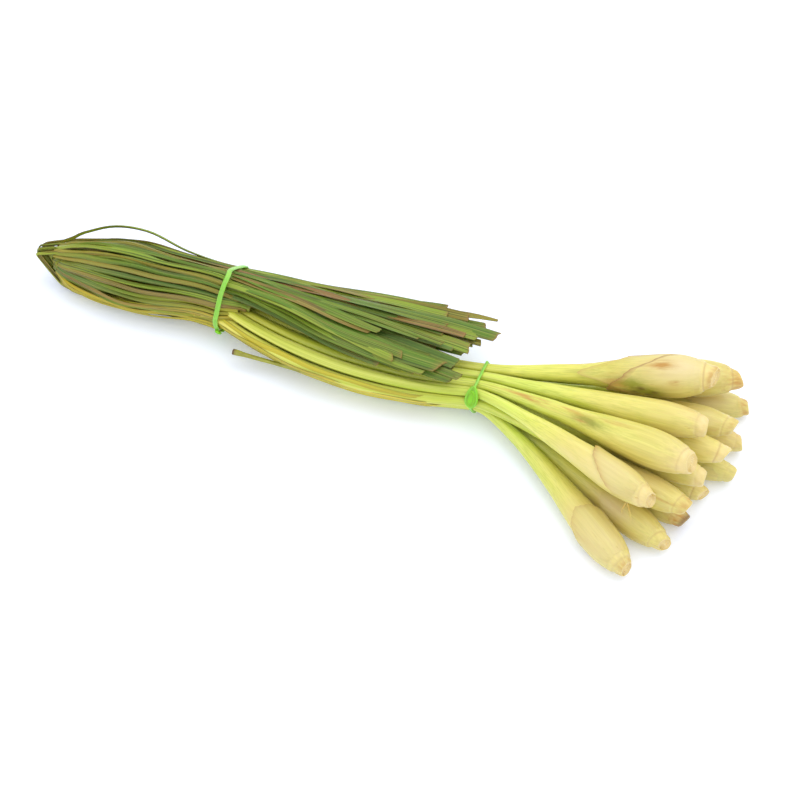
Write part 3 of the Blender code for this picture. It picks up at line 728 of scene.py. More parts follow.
def sheath_mesh(stalk, which, spec, material):
    """An outer sheath: it wraps the bulb and ends in a slanted, pointed edge."""
    tip, far, near, point, brown = spec
    theta = circle(2 * AROUND)
    ragged = wander(stalk.seed * 7 + which, 1.1)
    edge = near + (far - near) * ((1 + np.cos(theta - math.radians(tip))) / 2) ** point
    edge = edge + 0.9 * ragged(theta) + 0.35 * np.sin(23 * theta)
    start = SHEATH_START + SHEATH_NEXT * which
    # where the sheath is short it sinks into the skin
    there = np.clip((edge - start - SHEATH_NEXT) / SHEATH_TAPER, 0, 1)
    share = np.linspace(0, 1, 26)[:, None] ** 0.85
    s = start + (np.maximum(edge, start + 2) - start) * share
    theta = np.broadcast_to(theta, s.shape)
    free = np.clip(1 - (edge - s) / SHEATH_TAPER, 0, 1) ** 2
    wave = 0.35 * np.sin(3 * theta + which * 2.0)
    lift = (0.12 + 0.30 * which + SHEATH_THICK * np.clip((s - start) / 8, 0, 1)
            + free * SHEATH_LIFT * (1 + wave))
    lift = lift * there - 0.5 * (1 - there)
    outer = stalk.surface(s, theta, lift)
    inner = stalk.surface(s, theta, np.minimum(lift - 0.8 * SHEATH_THICK, lift * 0.9))
    rim = np.exp(-(edge - s) / 6.0) * brown * there
    flat = stalk.straight(s, theta, 90 * (which + 1))
    values = traits(s.shape, s, stalk.age, rim, 1.0)
    spots = marks(stalk.name, s, theta)
    sheet = Sheet()
    sheet.add(folded(outer, inner), *(folded(rows, rows) for rows in (flat, values, spots)))
    sheet.make(f"sheath_{stalk.name}_{which}", material, "stalk")


# ------------------------ leaves
def layer_out_z(layer, x):
    """Height of a layer on its way out, in the middle of the bundle."""
    row, level = divmod(layer, LAYERS_A_ROW)
    dip = lerp(x, ((-234, -196), (OUT_DIP, 0.0)))
    return SHEATH_Z + row * SHEATH_ROW + (level - 1) * LAYER_STEP - dip


def layer_back_z(layer, x):
    """Height of a layer on its way back, in the middle of the bundle."""
    rise = BACK_RISE * (x - REAR_X) / -REAR_X if x > REAR_X else 0.0
    step = lerp(x, ((-234, -200), (BULGE_STEP, LAYER_STEP)))
    return BACK_Z + rise + step * (INNERMOST - layer)


def group_path(layer, group):
    """Places on the way of a group of blades, as the solids have it: x, offset from the
    middle, height, width, and whether it is on its way back."""
    stalk, end_x, end_y, width, _, end_width, _ = group
    root = STALKS[stalk][1] * SHEATH_PITCH
    rear = (end_y - FAN_MIDDLE) * (FAN_FRONT if end_y < FAN_MIDDLE else FAN_BACK)
    end = end_y - back_y(end_x)
    collar = REAR_X - STALKS[stalk][6]
    outward = INNERMOST - layer
    path = [(x, root, layer_out_z(layer, x), OUT_WIDTH, False) for x in (collar - 2, collar - 10)]
    for x, share in OUT_SPREAD:
        path.append((x, root * share, layer_out_z(layer, x), OUT_WIDTH + 0.5, False))
    low, high = layer_out_z(layer, FOLD_X), layer_back_z(layer, FOLD_X)
    bend = FOLD_X - FOLD_STEP * outward
    tip = bend - FOLD_REACH * (FOLD_Z - low)
    path.append((bend, root * 0.8, low, OUT_WIDTH, False))
    path.append((tip, root * 0.55 + rear * 0.15, FOLD_Z, OUT_WIDTH, False))
    path.append((FOLD_X + FOLD_RETURN * outward, root * 0.4 + rear * 0.4, high, OUT_WIDTH, True))
    for x in BACK_X:
        if x > end_x - 10.0:
            continue
        share = lerp(x, ((-258, -206), (0.85, 1.0)))
        along = max(0.0, (x - REAR_X) / (end_x - REAR_X)) ** 0.8
        wide = lerp(x, ((-258, -190), (OUT_WIDTH, width)))
        offset = rear * share + (end - rear) * along
        path.append((x, offset, layer_back_z(layer, x), wide, True))
    path.append((end_x, end, layer_back_z(layer, end_x), end_width, True))
    return path


def group_line(layer, group):
    """Middle line of a group of blades, the direction across it, and its width."""
    points, sides, widths = [], [], []
    for x, offset, z, wide, back in group_path(layer, group):
        # towards the fold the layers draw together, and the inner ones reach on to the tip
        near = lerp(x, ((PINCH_END, PINCH_X), (1.0, 0.0)))
        x -= PINCH_REACH * layer / INNERMOST * near
        if back:
            z = FOLD_Z + (z + BACK_LIFT - FOLD_Z) * lerp(x, PINCH)
        elif z != FOLD_Z:
            z += (PINCH_RISE + PINCH_STEP * layer - z) * near
        else:
            x += TIP_BACK[min(layer, 3)]
            z += TIP_LIFT
        offset *= 1.0 - PINCH_WIDTH * near
        if back and offset < 0.0:
            offset *= 1.0 - lerp(x, SQUEEZE)
        if (layer, group[0]) == LOOSE and back:
            share = np.clip((x - LOOSE_FROM) / LOOSE_LENGTH, 0.0, 1.0)
            z += LOOSE_LIFT * math.sin(math.pi * share ** 0.5) ** 2
        drop = arch(x, ARCH_FRONT if back else 0.0)
        middle = back_y(x) if back else spine_y(x)
        point, side = place(x, offset, z - drop * offset ** 2, -2.0 * drop * offset, middle)
        points.append(point)
        sides.append(unit(side))
        widths.append(wide)
    return np.array(points), np.array(sides), np.array(widths)


def blade_line(layer, group):
    """Fine points of a group's middle line: smooth, but creased at the fold."""
    points, sides, widths = group_line(layer, group)
    at = distances(points)
    fold_at = at[FOLD_INDEX]
    run = np.arange(0.0, at[-1], 1.0)
    creased = soften(sample(run, at, points), 1.3)
    share = np.clip((np.abs(run - fold_at) - 20.0) / 16.0, 0.0, 1.0)[:, None]
    share = share * share * (3 - 2 * share)
    middle = creased * (1 - share) + through(points, at, run) * share
    width = np.maximum(through(widths, at, run), 1.2)
    return run, middle, units(through(sides, at, run)), width, fold_at


def ribbon(sheet, run, middle, side, wide, fold, tilt, slant, tint, seed):
    """A leaf blade along a line: folded along its midrib, tilted, and torn at its end."""
    rng = np.random.default_rng(seed + 500)
    along = units(np.gradient(middle, axis=0))
    side = square_to(side, along)
    face = np.cross(along, side)
    across = np.linspace(-1, 1, BLADE_ACROSS)
    half = wide / 2
    lateral = across * (half * np.cos(fold))[:, None]
    height = (np.abs(across) ** 1.15 - 0.5) * (half * np.sin(fold))[:, None]
    height = height + 0.05 * np.cos(across * 14)
    c, s = np.cos(tilt)[:, None], np.sin(tilt)[:, None]
    lateral, height = lateral * c - height * s, lateral * s + height * c
    torn = rng.uniform(-0.45, 0.45, BLADE_ACROSS) * min(1.0, wide[-1] / 5.0)
    torn = torn + slant * 0.5 * across
    ending = np.clip(1 - (run[-1] - run) / 10.0, 0, 1)[:, None] * torn
    thick = BLADE_THICK / 2 * (1.25 - 0.6 * np.abs(across) ** 2)
    base = swept(middle, side, along, lateral, ending)
    top = base + face[:, None] * (height + thick)[..., None]
    low = base + face[:, None] * (height - thick)[..., None]
    grid = np.concatenate((top, low[:, ::-1]), 1)
    around = np.concatenate((across, across[::-1]))
    flat = spread(run[:, None] + BLADES_APART * seed, around * half[:, None],
                  np.repeat((0.3, -0.3), BLADE_ACROSS))
    browned = rng.choice((0.3, 0.45, 1.0))
    cut = browned * np.exp(-(run[-1] - run) / rng.uniform(0.4, 1.5))
    tint = tint + rng.uniform(-0.03, 0.03)
    values = traits(grid.shape[:2], run[:, None], np.abs(around), cut[:, None], tint)
    sheet.add(grid, flat, values, first=True, last=True)
    return grid


def blade_places(fold_at, end):
    """Distances along a blade, close together round its fold, and just before its end."""
    coarse, fine = BLADE_STEPS
    low, high = fold_at - FOLD_FINE, fold_at + FOLD_FINE
    keep = np.unique(np.concatenate((np.arange(0, low, coarse), np.arange(low, high, fine),
                                     np.arange(high, end, coarse), (end - 1.0, end))))
    return keep[np.concatenate(((True,), np.diff(keep) > 0.6))]


def blade(sheet, layer, group, which, seed):
    """One leaf blade of a group, from its collar round the fold to its cut end."""
    stalk, _, end_y, _, slant, end_width, tints = group
    count = len(tints)
    rng = np.random.default_rng(seed + 11)
    run, middle, side, width, fold_at = blade_line(layer, group)
    end = run[-1]
    if which != count // 2:
        end -= rng.uniform(2.0, 18.0)
    # near the fold every blade turns at a place of its own
    shift = rng.uniform(-3.0, 9.0) if layer > 0 else rng.uniform(-3.0, 2.0)
    middle = middle + shift * bell(run - fold_at, 24.0)[:, None] * AHEAD
    keep = blade_places(fold_at, end)
    middle = sample(keep, run, middle)
    side = units(sample(keep, run, side))
    width = np.interp(keep, run, width)
    run = keep
    along = units(np.gradient(middle, axis=0))
    side = square_to(side, along)
    face = np.cross(along, side)
    root = bell(run, 16.0)
    held_at = bell(run - (fold_at + FOLD_LOOP), 30.0)
    past = np.clip((run - fold_at - 40.0) / 110.0, 0, 1)
    # blades of a group lie side by side and lap a little
    loose = (1 - root) * (1 - 0.6 * held_at)
    sway = wander(seed + 3, 110.0)(run) * loose * 1.1
    rise = wander(seed + 4, 90.0)(run) * loose * 0.55
    share = SHARE_OUT[count - 1] * (1 - past) + SHARE_BACK[count - 1] * past
    own = width * share * rng.uniform(0.88, 1.10)
    beside = width * ((which + 0.5) / count - 0.5) * (0.95 - 0.25 * past) + sway
    above = rise + (which - (count - 1) / 2) * 0.45
    middle = middle + side * beside[:, None] + face * above[:, None]
    bulge = bell(run - fold_at, 60.0)
    tilt = (0.25 + 0.35 * bulge) * wander(seed + 1, 150.0)(run) * (1 - root)
    tilt = tilt + 0.55 * lerp(end_y, ((18.0, 34.0), (0.0, 1.0))) * past
    fold = 0.85 - 0.80 * past * rng.uniform(0.7, 1.0)
    fold = fold + 0.3 * wander(seed + 2, 130.0)(run) * (1 - past)
    fold = np.clip(fold, 0.05, 1.05) * rng.choice((1.0, 1.0, -1.0))
    slant = slant * own[-1] / max(end_width, 1.0)
    grid = ribbon(sheet, run, middle, side, own, fold, tilt, slant, TINTS[tints[which]], seed)
    return None if (layer, stalk) == LOOSE else grid


def outline(points, offset, count):
    """A convex outline round (y, z) points, this far outside them."""
    angles = TAU * (np.arange(count) + 0.5) / count
    ways = np.stack((np.cos(angles), np.sin(angles)), 1)
    reach = (points @ ways.T).max(0) + offset
    corners = []
    for i in range(count):
        pair = [i, (i + 1) % count]
        corners.append(np.linalg.solve(ways[pair], reach[pair]))
    corners = np.array(corners)
    for _ in range(3):
        corners = (np.roll(corners, 1, 0) + 2 * corners + np.roll(corners, -1, 0)) / 4
    return corners


class Envelope:
    """The convex outside of a set of points, as rings round the bundle at many x."""

    def __init__(self, points, start, stop):
        self.xs = np.arange(start, stop, ENVELOPE_STEP)
        self.phi = np.radians(np.arange(0.0, 361.0, 5.0))
        middles, radii = [], []
        for x in self.xs:
            ring = outline(points[np.abs(points[:, 0] - x) < ENVELOPE_REACH][:, 1:], 0.0, 60)
            middle = (ring.max(0) + ring.min(0)) / 2
            away = ring - middle
            angle = np.arctan2(away[:, 1], away[:, 0]) % TAU
            order = np.argsort(angle)
            radius = np.linalg.norm(away, axis=1)
            middles.append(middle)
            radii.append(np.interp(self.phi, angle[order], radius[order], period=TAU))
        self.middle = soften(middles, 1.0)
        self.radius = soften(radii, 1.0)

    def at(self, x, phi, lift):
        """Points at x and angle phi (rad), this far outside."""
        middle = sample(x, self.xs, self.middle)
        rings = sample(x, self.xs, self.radius)
        radius = np.array([np.interp(p % TAU, self.phi, ring) for p, ring in zip(phi, rings)])
        radius = radius + lift
        return spread(x, middle[:, 0] + radius * np.cos(phi), middle[:, 1] + radius * np.sin(phi))


def cover(sheet, envelope, spec, seed, stem):
    """A blade, or a dried stem, lying on the outside of the bundle."""
    _, start, stop, at_fold, at_bulge, at_end, width, tint = spec
    outgoing = stop < REAR_X and not stem
    last = UNDER_BAND[1] if outgoing else stop
    x = np.arange(start, last + 0.1, STEP)
    turn = np.interp(x, (start, start * 0.55 + stop * 0.45, stop), (at_fold, at_bulge, at_end))
    phi = np.radians(soften(turn[:, None], 5.0)[:, 0] + 1.6 * wander(seed, 70.0)(x))
    lift = 0.25 + 0.45 * (seed % 3) + 0.5 * wander(seed + 1, 60.0)(x)
    if stem:
        lift = 0.5 * lift - 0.7 - np.interp(x, (stop - 15.0, stop), (0.0, 3.0))
    else:
        lift = lift - np.interp(x, UNDER_BAND, (0.0, UNDER_SINK))
    lift = lift - np.interp(x, (start, start + 10.0), (2.5, 0.0))
    middle = envelope.at(x, phi, lift)
    side = units(envelope.at(x, phi - 0.05, lift) - envelope.at(x, phi + 0.05, lift))
    wide = width * np.interp(x, (start, start + 30.0, stop), (0.75, 1.0, 0.95))
    wide = wide * np.random.default_rng(seed).uniform(0.9, 1.1)
    tilt = 0.30 * wander(seed + 2, 80.0)(x)
    fold = -np.clip(0.55 + 0.35 * wander(seed + 3, 90.0)(x), 0.1, 1.0)
    run = x - start
    if stem:
        fold = fold * 0.6
    elif outgoing:
        # this one runs from its collar out to the fold
        run = stop - x[::-1] + (0.0 if tint == "y" else OUTWARD_RUN)
        middle, side, wide = middle[::-1], -side[::-1], wide[::-1]
        tilt, fold = tilt[::-1], fold[::-1]
    else:
        run = run + BACK_RUN
    ribbon(sheet, run, middle, side, wide, fold, tilt, 0.5, TINTS[tint], seed + 3000)


def collar_mesh(sheet, name):
    """The collar that a stalk's blades grow from."""
    row, col = STALKS[name][:2]
    theta = circle(COLLAR_AROUND)[:, None]
    rows = []
    for x, wide, thick, flare in COLLAR:
        centre, _, side = lane(row, col, REAR_X - STALKS[name][6] + x)
        side = unit(side)
        up = np.cross(side, -AHEAD)
        rows.append(centre + np.cos(theta) * side * (SHEATH_HALF[0] * wide + flare)
                    + np.sin(theta) * up * (SHEATH_HALF[1] * thick + flare))
    rows = np.array(rows)
    sheet.add(rows, rows + AHEAD * float(name) * COLLARS_APART,
              traits(rows.shape[:2], 0.0, 0.3, 0.0, TINTS["y"]), first=True, last=True)


def leaves(stalks, material):
    """All the blades, as one mesh a stalk."""
    sheets = {name: Sheet() for name in STALKS}
    grids = []
    for layer, groups in LEAVES.items():
        for index, group in enumerate(groups):
            for which in range(len(group[6])):
                seed = 100 * layer + 10 * index + which
                grid = blade(sheets[group[0]], layer, group, which, seed)
                if grid is not None:
                    grids.append(grid.reshape(-1, 3))
    between = []
    for stalk in stalks:
        s = stalk.s[stalk.s > stalk.band_s - 6.0][:, None]
        between.append(stalk.surface(s, circle(24)).reshape(-1, 3))
    outside = Envelope(np.concatenate(grids + between), -286.0, -130.0)
    for i, spec in enumerate(COVERS):
        cover(sheets[spec[0]], outside, spec, i, False)
    below = Envelope(np.concatenate(between), -178.0, 0.0)
    for i, spec in enumerate(STEMS):
        cover(sheets[spec[0]], below, spec, i + 40, True)
    made = []
    for name, sheet in sheets.items():
        collar_mesh(sheet, name)
        ob = sheet.make("blades_" + name, material, "leaf", angle=60.0)
        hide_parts("leaves_" + name)
        made.append(ob)
    return made


# ------------------------ bands
def held(objects, x):
    """Where the points of meshes near a band at x lie, as (y, z) in the bundle's mm."""
    found = []
    for ob in objects:
        co = np.zeros(len(ob.data.vertices) * 3)
        ob.data.vertices.foreach_get("co", co)
        found.append(co.reshape(-1, 3) / MM + (ORIGIN[0], ORIGIN[1], 0.0))
    found = np.concatenate(found)
    return found[(found[:, 0] > x - HELD_REACH) & (found[:, 0] < x + HELD_REACH)][:, 1:]


def seat_of(ring, face):
    """The point of a ring of (y, z) that is furthest the way that face looks, at x = 0."""
    y, z = max(ring, key=lambda p: p[0] * face[1] + p[1] * face[2])
    return np.array((0.0, y, z))


def lump(sheet, centre, radii, face, pattern):
    """A pulled-tight knot: a flattened ball with turns of cord winding over it."""
    face = unit(face)
    axes = np.stack((AHEAD, np.cross(face, AHEAD), face))
    p, t = np.meshgrid(np.linspace(0.02, math.pi - 0.02, KNOT_ROWS), circle(KNOT_AROUND),
                       indexing="ij")
    swell = 1 + 0.10 * np.sin(2 * t + 3 * p + pattern) + 0.05 * np.sin(5 * p - t)
    local = spread(np.sin(p) * np.cos(t), np.cos(p), np.sin(p) * np.sin(t))
    local = local * radii * swell[..., None]
    sheet.add(centre + local @ axes, local, traits(p.shape, rim=0.9), first=True, last=True)


def front_band(skins, material):
    """A thin cord round the stalks, with a double loop and a knot."""
    ring = outline(held(skins, 0.0), FRONT_CORD / 2 - FRONT_BITE, FRONT_CORNERS)
    sheet = Sheet()
    share = np.arange(FRONT_CORNERS) / FRONT_CORNERS
    sway = 0.6 * wander(5, 24.0)(share * 100) * np.sin(math.pi * share)
    tube(sheet, spread(sway, ring[:, 0], ring[:, 1]), FRONT_CORD / 2)
    along = np.cross(LOOP_FACE, AHEAD)
    centre = seat_of(ring, LOOP_FACE) + along * LOOP_AT[0] + LOOP_FACE * LOOP_AT[1]
    a = circle(56)
    for turn in range(2):
        wide = (LOOP_SIZE[0] / 2 - turn) * np.sin(a) * (1.0 - 0.30 * np.cos(a))
        long = (LOOP_SIZE[1] / 2 + 1.5 - 1.8 * turn) * np.cos(a) - 0.5 * turn
        out = 0.35 * np.sin(a + 0.6) + 0.3 * turn
        loop = centre + spread(wide, 0.0, 0.0) + long[:, None] * along + out[:, None] * LOOP_FACE
        tube(sheet, loop, LOOP_CORD - 0.05 * turn, face=LOOP_FACE, rim=0.6 + 0.4 * turn)
    for forward, out, radii, pattern in FRONT_KNOTS:
        lump(sheet, centre + along * forward + LOOP_FACE * out, radii, LOOP_FACE, pattern)
    ob = sheet.make("band_front", material, "band")
    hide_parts("tie_stalks")


def rear_band(pieces, material):
    """A flat band round stalks and leaves, with a knot low in front."""
    ring = outline(held(pieces, REAR_X), REAR_THICK / 2, REAR_CORNERS)
    lean = 0.8 * wander(8, 60.0)(np.arange(REAR_CORNERS) / REAR_CORNERS * 120)
    line = spread(REAR_X + lean, ring[:, 0], ring[:, 1])
    out = units(np.cross(np.roll(line, -1, 0) - np.roll(line, 1, 0), AHEAD))
    if ((line - line.mean(0)) * out).sum() < 0:
        out = -out
    # its section is a rounded strip with a fine ribbing across it
    c, s = np.cos(circle(20)), np.sin(circle(20))
    u = np.sign(c) * np.abs(c) ** 0.6 * REAR_WIDTH / 2
    v = np.sign(s) * np.abs(s) ** 0.8 * REAR_THICK / 2
    ribbed = (v + 0.08 * np.cos(u * 5))[None]
    grid = swept(line, np.broadcast_to(AHEAD, line.shape), out, u[None], ribbed)
    flat = spread(np.arange(REAR_CORNERS)[:, None] * 1.2, u, v)
    sheet = Sheet()
    sheet.add(np.concatenate((grid, grid[:1])), np.concatenate((flat, flat[:1])),
              traits((REAR_CORNERS + 1, len(u))))
    ahead, out_by = REAR_KNOT_AT
    centre = seat_of(ring, KNOT_FACE) + AHEAD * (REAR_X + ahead) + KNOT_FACE * out_by
    lump(sheet, centre, REAR_KNOT, KNOT_FACE, 2)
    ob = sheet.make("band_rear", material, "band")
    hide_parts("tie_leaves")


# ------------------------ materials
def linear(r, g, b):
    """Linear colour from everyday 0-255 values."""
    out = []
    for v in (r, g, b):
        v /= 255.0
        out.append(v / 12.92 if v <= 0.04045 else ((v + 0.055) / 1.055) ** 2.4)
    return (*out, 1.0)


class Nodes:
    """A material's node tree, with short names for its making."""

    def __init__(self, name, **settings):
        self.material = bpy.data.materials.new(name)
        self.material.use_nodes = True
        self.tree = self.material.node_tree
        self.shader = self.tree.nodes["Principled BSDF"]
        self.colour = None
        for key, value in settings.items():
            self.shader.inputs[key.replace("_", " ")].default_value = value

    def fill(self, node, inputs):
        """Set a node's inputs, or link them where the value is another node's output."""
        for key, value in dict(inputs).items():
            if hasattr(value, "is_output"):
                self.tree.links.new(value, node.inputs[key])
            else:
                node.inputs[key].default_value = value
        return node

    def add(self, kind, inputs=(), **settings):
        node = self.tree.nodes.new(kind)
        for key, value in settings.items():
            setattr(node, key, value)
        return self.fill(node, inputs)

    def math(self, operation, a, b, clamp=False):
        node = self.add("ShaderNodeMath", {0: a, 1: b}, operation=operation, use_clamp=clamp)
        return node.outputs[0]

    def times(self, a, b):
        return self.math("MULTIPLY", a, b)

    def mix(self, factor, a, b, blend="MIX"):
        inputs = {0: factor, 6: a, 7: b}
        return self.add("ShaderNodeMix", inputs, data_type="RGBA", blend_type=blend).outputs[2]

    def paint(self, factor, *rgb, blend="MIX"):
        """Lay a colour over the one so far, where factor is high."""
        self.colour = self.mix(factor, self.colour, linear(*rgb), blend)

    def ramp(self, factor, stops):
        """A colour ramp of stops: each its position, then its everyday colour or its grey."""
        node = self.add("ShaderNodeValToRGB", {"Fac": factor})
        elements = node.color_ramp.elements
        while len(elements) < len(stops):
            elements.new(0.5)
        for element, (position, *value) in zip(elements, stops):
            element.position = position
            element.color = linear(*value) if len(value) == 3 else (*value * 3, 1.0)
        return node.outputs[0]

    def rise(self, factor, low, high, start=0.0, end=1.0):
        """A grey that goes from start to end as factor goes from low to high."""
        return self.ramp(factor, ((low, start), (high, end)))

    def noise(self, scale, detail=3.0, roughness=0.5):
        """Noise over the straightened coordinates, stretched by scale along and across."""
        flat = self.add("ShaderNodeAttribute", attribute_name="flat").outputs["Vector"]
        inputs = {"Vector": flat, "Scale": (scale[0], scale[1], scale[1])}
        inputs = {"Vector": self.add("ShaderNodeMapping", inputs).outputs[0], "Scale": 1.0,
                  "Detail": detail, "Roughness": roughness}
        return self.add("ShaderNodeTexNoise", inputs).outputs["Fac"]

    def attribute(self, name):
        """The four values of a colour attribute."""
        source = self.add("ShaderNodeAttribute", attribute_name=name)
        split = self.add("ShaderNodeSeparateColor", {"Color": source.outputs["Color"]})
        return (*split.outputs[:3], source.outputs["Alpha"])

    def finish(self, roughness, height, distance):
        """Link the colour so far, the roughness and a bump, and give the material."""
        bump = self.add("ShaderNodeBump", {"Height": height, "Distance": distance})
        self.fill(self.shader, {"Base Color": self.colour, "Roughness": roughness,
                                "Normal": bump.outputs[0]})
        return self.material


STALK_LENGTH = 0.33  # a stalk's colours are set along this length (m)
LEAF_EARLY = 0.4  # a leaf's along this one
SKIN_RAMP = ((0.00, 214, 194, 126), (0.05, 214, 197, 112), (0.14, 217, 204, 104),
             (0.24, 218, 215, 100), (0.33, 212, 223, 98), (0.50, 208, 219, 88),
             (0.75, 200, 208, 66), (0.90, 206, 202, 62), (1.00, 216, 192, 52))
HUSK_RAMP = ((0.00, 218, 192, 116), (0.10, 220, 197, 108), (0.20, 218, 200, 102),
             (0.32, 204, 200, 92))
TINT_RAMP = ((0.04, 132, 96, 54), (0.10, 142, 108, 66), (0.15, 140, 122, 70),
             (0.20, 138, 130, 62), (0.27, 84, 124, 48), (0.34, 102, 144, 58),
             (0.42, 82, 128, 24), (0.49, 104, 150, 36), (0.54, 124, 166, 46),
             (0.60, 146, 180, 52), (0.66, 126, 128, 38), (0.72, 156, 150, 48),
             (0.81, 218, 198, 54), (0.90, 206, 212, 66), (0.97, 232, 230, 92))
EARLY_RAMP = ((0.0, 0.9), (0.12, 0.80), (0.24, 0.45), (0.34, 0.16), (0.45, 0.0))
BUMP = 0.0002  # depth of the fine relief (m)
BAND_BUMP = 0.00008


def stalk_material():
    n = Nodes("stalk_skin", Subsurface_Weight=0.25, Subsurface_Radius=(1.0, 0.9, 0.3),
              Subsurface_Scale=0.004, Specular_IOR_Level=0.5)
    along, age, rim, outer = n.attribute("traits")
    brown, olive, pink_and_highlight, dark = n.attribute("marks")
    s = n.times(along, 1 / STALK_LENGTH)
    n.colour = n.mix(outer, n.ramp(s, SKIN_RAMP), n.ramp(s, HUSK_RAMP))
    # some stalks are greener and some yellower
    n.paint(n.rise(age, 0.0, 0.4, 0.35, 0.0), 186, 206, 62)
    n.paint(n.rise(age, 0.6, 1.0, 0.0, 0.35), 230, 214, 98)
    # broad soft changes, then fine lines along the stalk, and a blush near its base
    broad = n.noise((7.0, 70.0), 2.0)
    n.paint(n.times(n.rise(broad, 0.42, 0.66), n.rise(s, 0.08, 0.40, 0.10, 0.75)), 172, 190, 46)
    streak = n.noise((6.0, 420.0))
    n.paint(n.rise(streak, 0.40, 0.66, 0.0, 0.38), 242, 232, 136)
    vein = n.noise((4.0, 1500.0), 2.0)
    n.paint(n.times(n.rise(vein, 0.36, 0.52, 0.5, 0.0), n.rise(s, 0.05, 0.4, 0.28, 0.9)),
            156, 166, 36)
    blush = n.noise((22.0, 60.0))
    n.paint(n.times(n.rise(blush, 0.46, 0.74, 0.0, 0.5), n.rise(s, 0.02, 0.26, 1.0, 0.1)),
            226, 192, 130)
    # marks: pink and cream patches, a painted highlight on the top of 02's bulb, olive
    # smudges, brown scuffs and dark spots
    n.paint(n.times(pink_and_highlight, 0.75), 236, 212, 152)
    ragged = n.noise((70.0, 260.0), 4.0, 0.6)
    n.paint(n.times(olive, n.rise(ragged, 0.34, 0.58, 0.25, 1.0)), 154, 154, 54)
    scuff = n.noise((45.0, 420.0), 4.0, 0.6)
    n.paint(n.times(brown, n.rise(scuff, 0.38, 0.60, 0.15, 1.0)), 194, 142, 66)
    n.paint(dark, 92, 62, 40)
    n.paint(n.times(n.rise(scuff, 0.66, 0.74, 0.0, 0.6), n.rise(s, 0.0, 0.5, 0.9, 0.3)),
            190, 158, 74)
    # dry edges: a tan zone and a thin brown line
    n.paint(n.times(rim, n.rise(outer, 0.0, 1.0, 0.25, 0.6)), 206, 178, 104)
    n.paint(n.times(n.math("POWER", rim, 3.2, True), 0.85), 166, 112, 66)
    height = n.math("ADD", n.times(vein, 0.5), n.times(streak, 0.8))
    return n.finish(n.rise(streak, 0.3, 0.7, 0.33, 0.44), height, BUMP)


def leaf_material():
    n = Nodes("leaf_blade", Subsurface_Weight=0.12, Subsurface_Scale=0.001,
              Specular_IOR_Level=0.4)
    along, out, cut, tint = n.attribute("traits")
    n.colour = n.ramp(tint, TINT_RAMP)
    # yellow near the collar, then dull patches, dry spots, dark veins and pale ones
    n.paint(n.ramp(n.times(along, 1 / LEAF_EARLY), EARLY_RAMP), 196, 194, 46)
    n.paint(n.rise(n.noise((9.0, 60.0)), 0.48, 0.76, 0.0, 0.5), 142, 146, 50)
    n.paint(n.rise(n.noise((20.0, 420.0), 4.0, 0.6), 0.58, 0.74, 0.0, 0.5), 140, 104, 62)
    streak = n.noise((8.0, 1300.0))
    n.paint(n.rise(streak, 0.32, 0.50, 0.85, 0.0), 44, 64, 8)
    pale = n.noise((6.0, 2600.0), 2.0)
    n.paint(n.rise(pale, 0.50, 0.72, 0.0, 0.42), 184, 200, 104)
    # the midrib is pale, the edges are dull, and the cut end is dry
    n.paint(n.rise(out, 0.0, 0.12, 0.45, 0.0), 172, 192, 92)
    n.paint(n.rise(out, 0.86, 1.0, 0.0, 0.55), 88, 84, 28)
    n.paint(n.times(cut, 0.75), 156, 130, 74)
    n.paint(1.0, 247, 228, 210, blend="MULTIPLY")
    return n.finish(n.rise(streak, 0.3, 0.7, 0.42, 0.58), n.math("ADD", streak, pale), BUMP)


def band_material():
    n = Nodes("band_elastic", Subsurface_Weight=0.5, Subsurface_Radius=(0.6, 1.0, 0.3),
              Subsurface_Scale=0.003)
    rim = n.attribute("traits")[2]
    grain = n.noise((120.0, 700.0))
    n.colour = n.ramp(grain, ((0.35, 130, 192, 60), (0.65, 154, 208, 86)))
    n.paint(rim, 130, 204, 0)
    return n.finish(n.rise(grain, 0.3, 0.7, 0.30, 0.42), grain, BAND_BUMP)


def floor_material():
    return Nodes("floor", Base_Color=(0.86, 0.89, 0.99, 1.0), Emission_Strength=0.16,
                 Emission_Color=(0.9, 0.93, 1.0, 1.0), Roughness=0.8,
                 Specular_IOR_Level=0.1).material


# ------------------------ stage
VIEW_AZIMUTH, VIEW_HEIGHT = 21.0, 52.0
VIEW_DISTANCE, VIEW_LENS = 1200.0, 90.0
VIEW_TARGET = (-41.73, -25.85, 16.0)
SENSOR_WIDTH = 36.0
NEAREST = 0.01
FLOOR_SIZE = 30.0
SKY, SKY_STRENGTH = (0.93, 0.96, 1.0, 1.0), 1.12
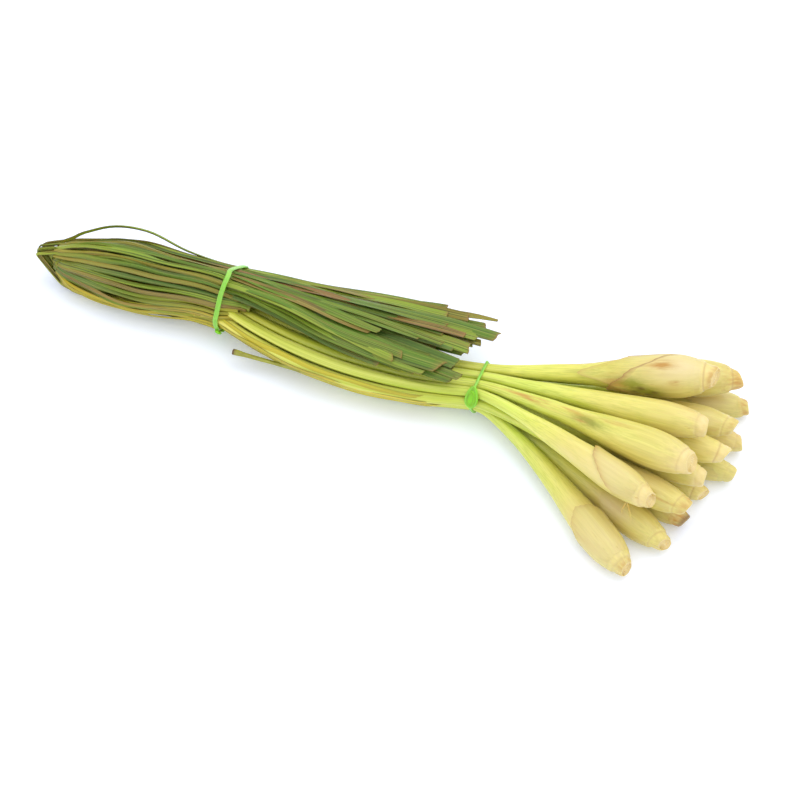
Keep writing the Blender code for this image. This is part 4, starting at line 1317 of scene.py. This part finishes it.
# name: place, size, power and colour (m and W)
LIGHTS = {
    "key": ((0.35, 0.45, 1.5), 1.5, 9.0, (1.0, 0.99, 0.97)),
    "fill": ((-0.9, -0.7, 1.2), 1.4, 2.0, (0.95, 0.98, 1.0)),
}


def add_floor():
    bpy.ops.mesh.primitive_plane_add(size=FLOOR_SIZE)
    floor = bpy.context.object
    floor.name = "floor"
    floor.data.materials.append(floor_material())


def add_camera():
    a, e = math.radians(VIEW_AZIMUTH), math.radians(VIEW_HEIGHT)
    back = Vector((math.sin(a) * math.cos(e), -math.cos(a) * math.cos(e), math.sin(e)))
    target = (Vector(VIEW_TARGET) - Vector((*ORIGIN, 0.0))) * MM
    camera = bpy.data.objects.new("camera", bpy.data.cameras.new("camera"))
    bpy.context.scene.collection.objects.link(camera)
    camera.location = target + back * VIEW_DISTANCE * MM
    camera.rotation_euler = back.to_track_quat("Z", "Y").to_euler()
    camera.data.lens = VIEW_LENS
    camera.data.sensor_width = SENSOR_WIDTH
    camera.data.clip_start = NEAREST
    bpy.context.scene.camera = camera


def add_lights():
    world = bpy.data.worlds.new("studio")
    bpy.context.scene.world = world
    world.use_nodes = True
    sky = world.node_tree.nodes["Background"]
    sky.inputs["Color"].default_value = SKY
    sky.inputs["Strength"].default_value = SKY_STRENGTH
    for name, (where, size, power, colour) in LIGHTS.items():
        light = bpy.data.lights.new(name, "AREA")
        light.size = size
        light.energy = power
        light.color = colour
        ob = bpy.data.objects.new(name, light)
        bpy.context.scene.collection.objects.link(ob)
        ob.location = where
        ob.rotation_euler = Vector(where).to_track_quat("Z", "Y").to_euler()


def main():
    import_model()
    skin, leaf, elastic = stalk_material(), leaf_material(), band_material()
    stalks = [Stalk(name) for name in STALKS]
    skins = [stalk_mesh(stalk, skin) for stalk in stalks]
    for stalk in stalks:
        for which, spec in enumerate(SHEATHS.get(stalk.name, ())):
            sheath_mesh(stalk, which, spec, skin)
    blades = leaves(stalks, leaf)
    front_band(skins, elastic)
    rear_band(skins + blades, elastic)
    # the Standard view leaves the colours as they are set
    bpy.context.scene.view_settings.view_transform = "Standard"
    add_floor()
    add_camera()
    add_lights()


main()
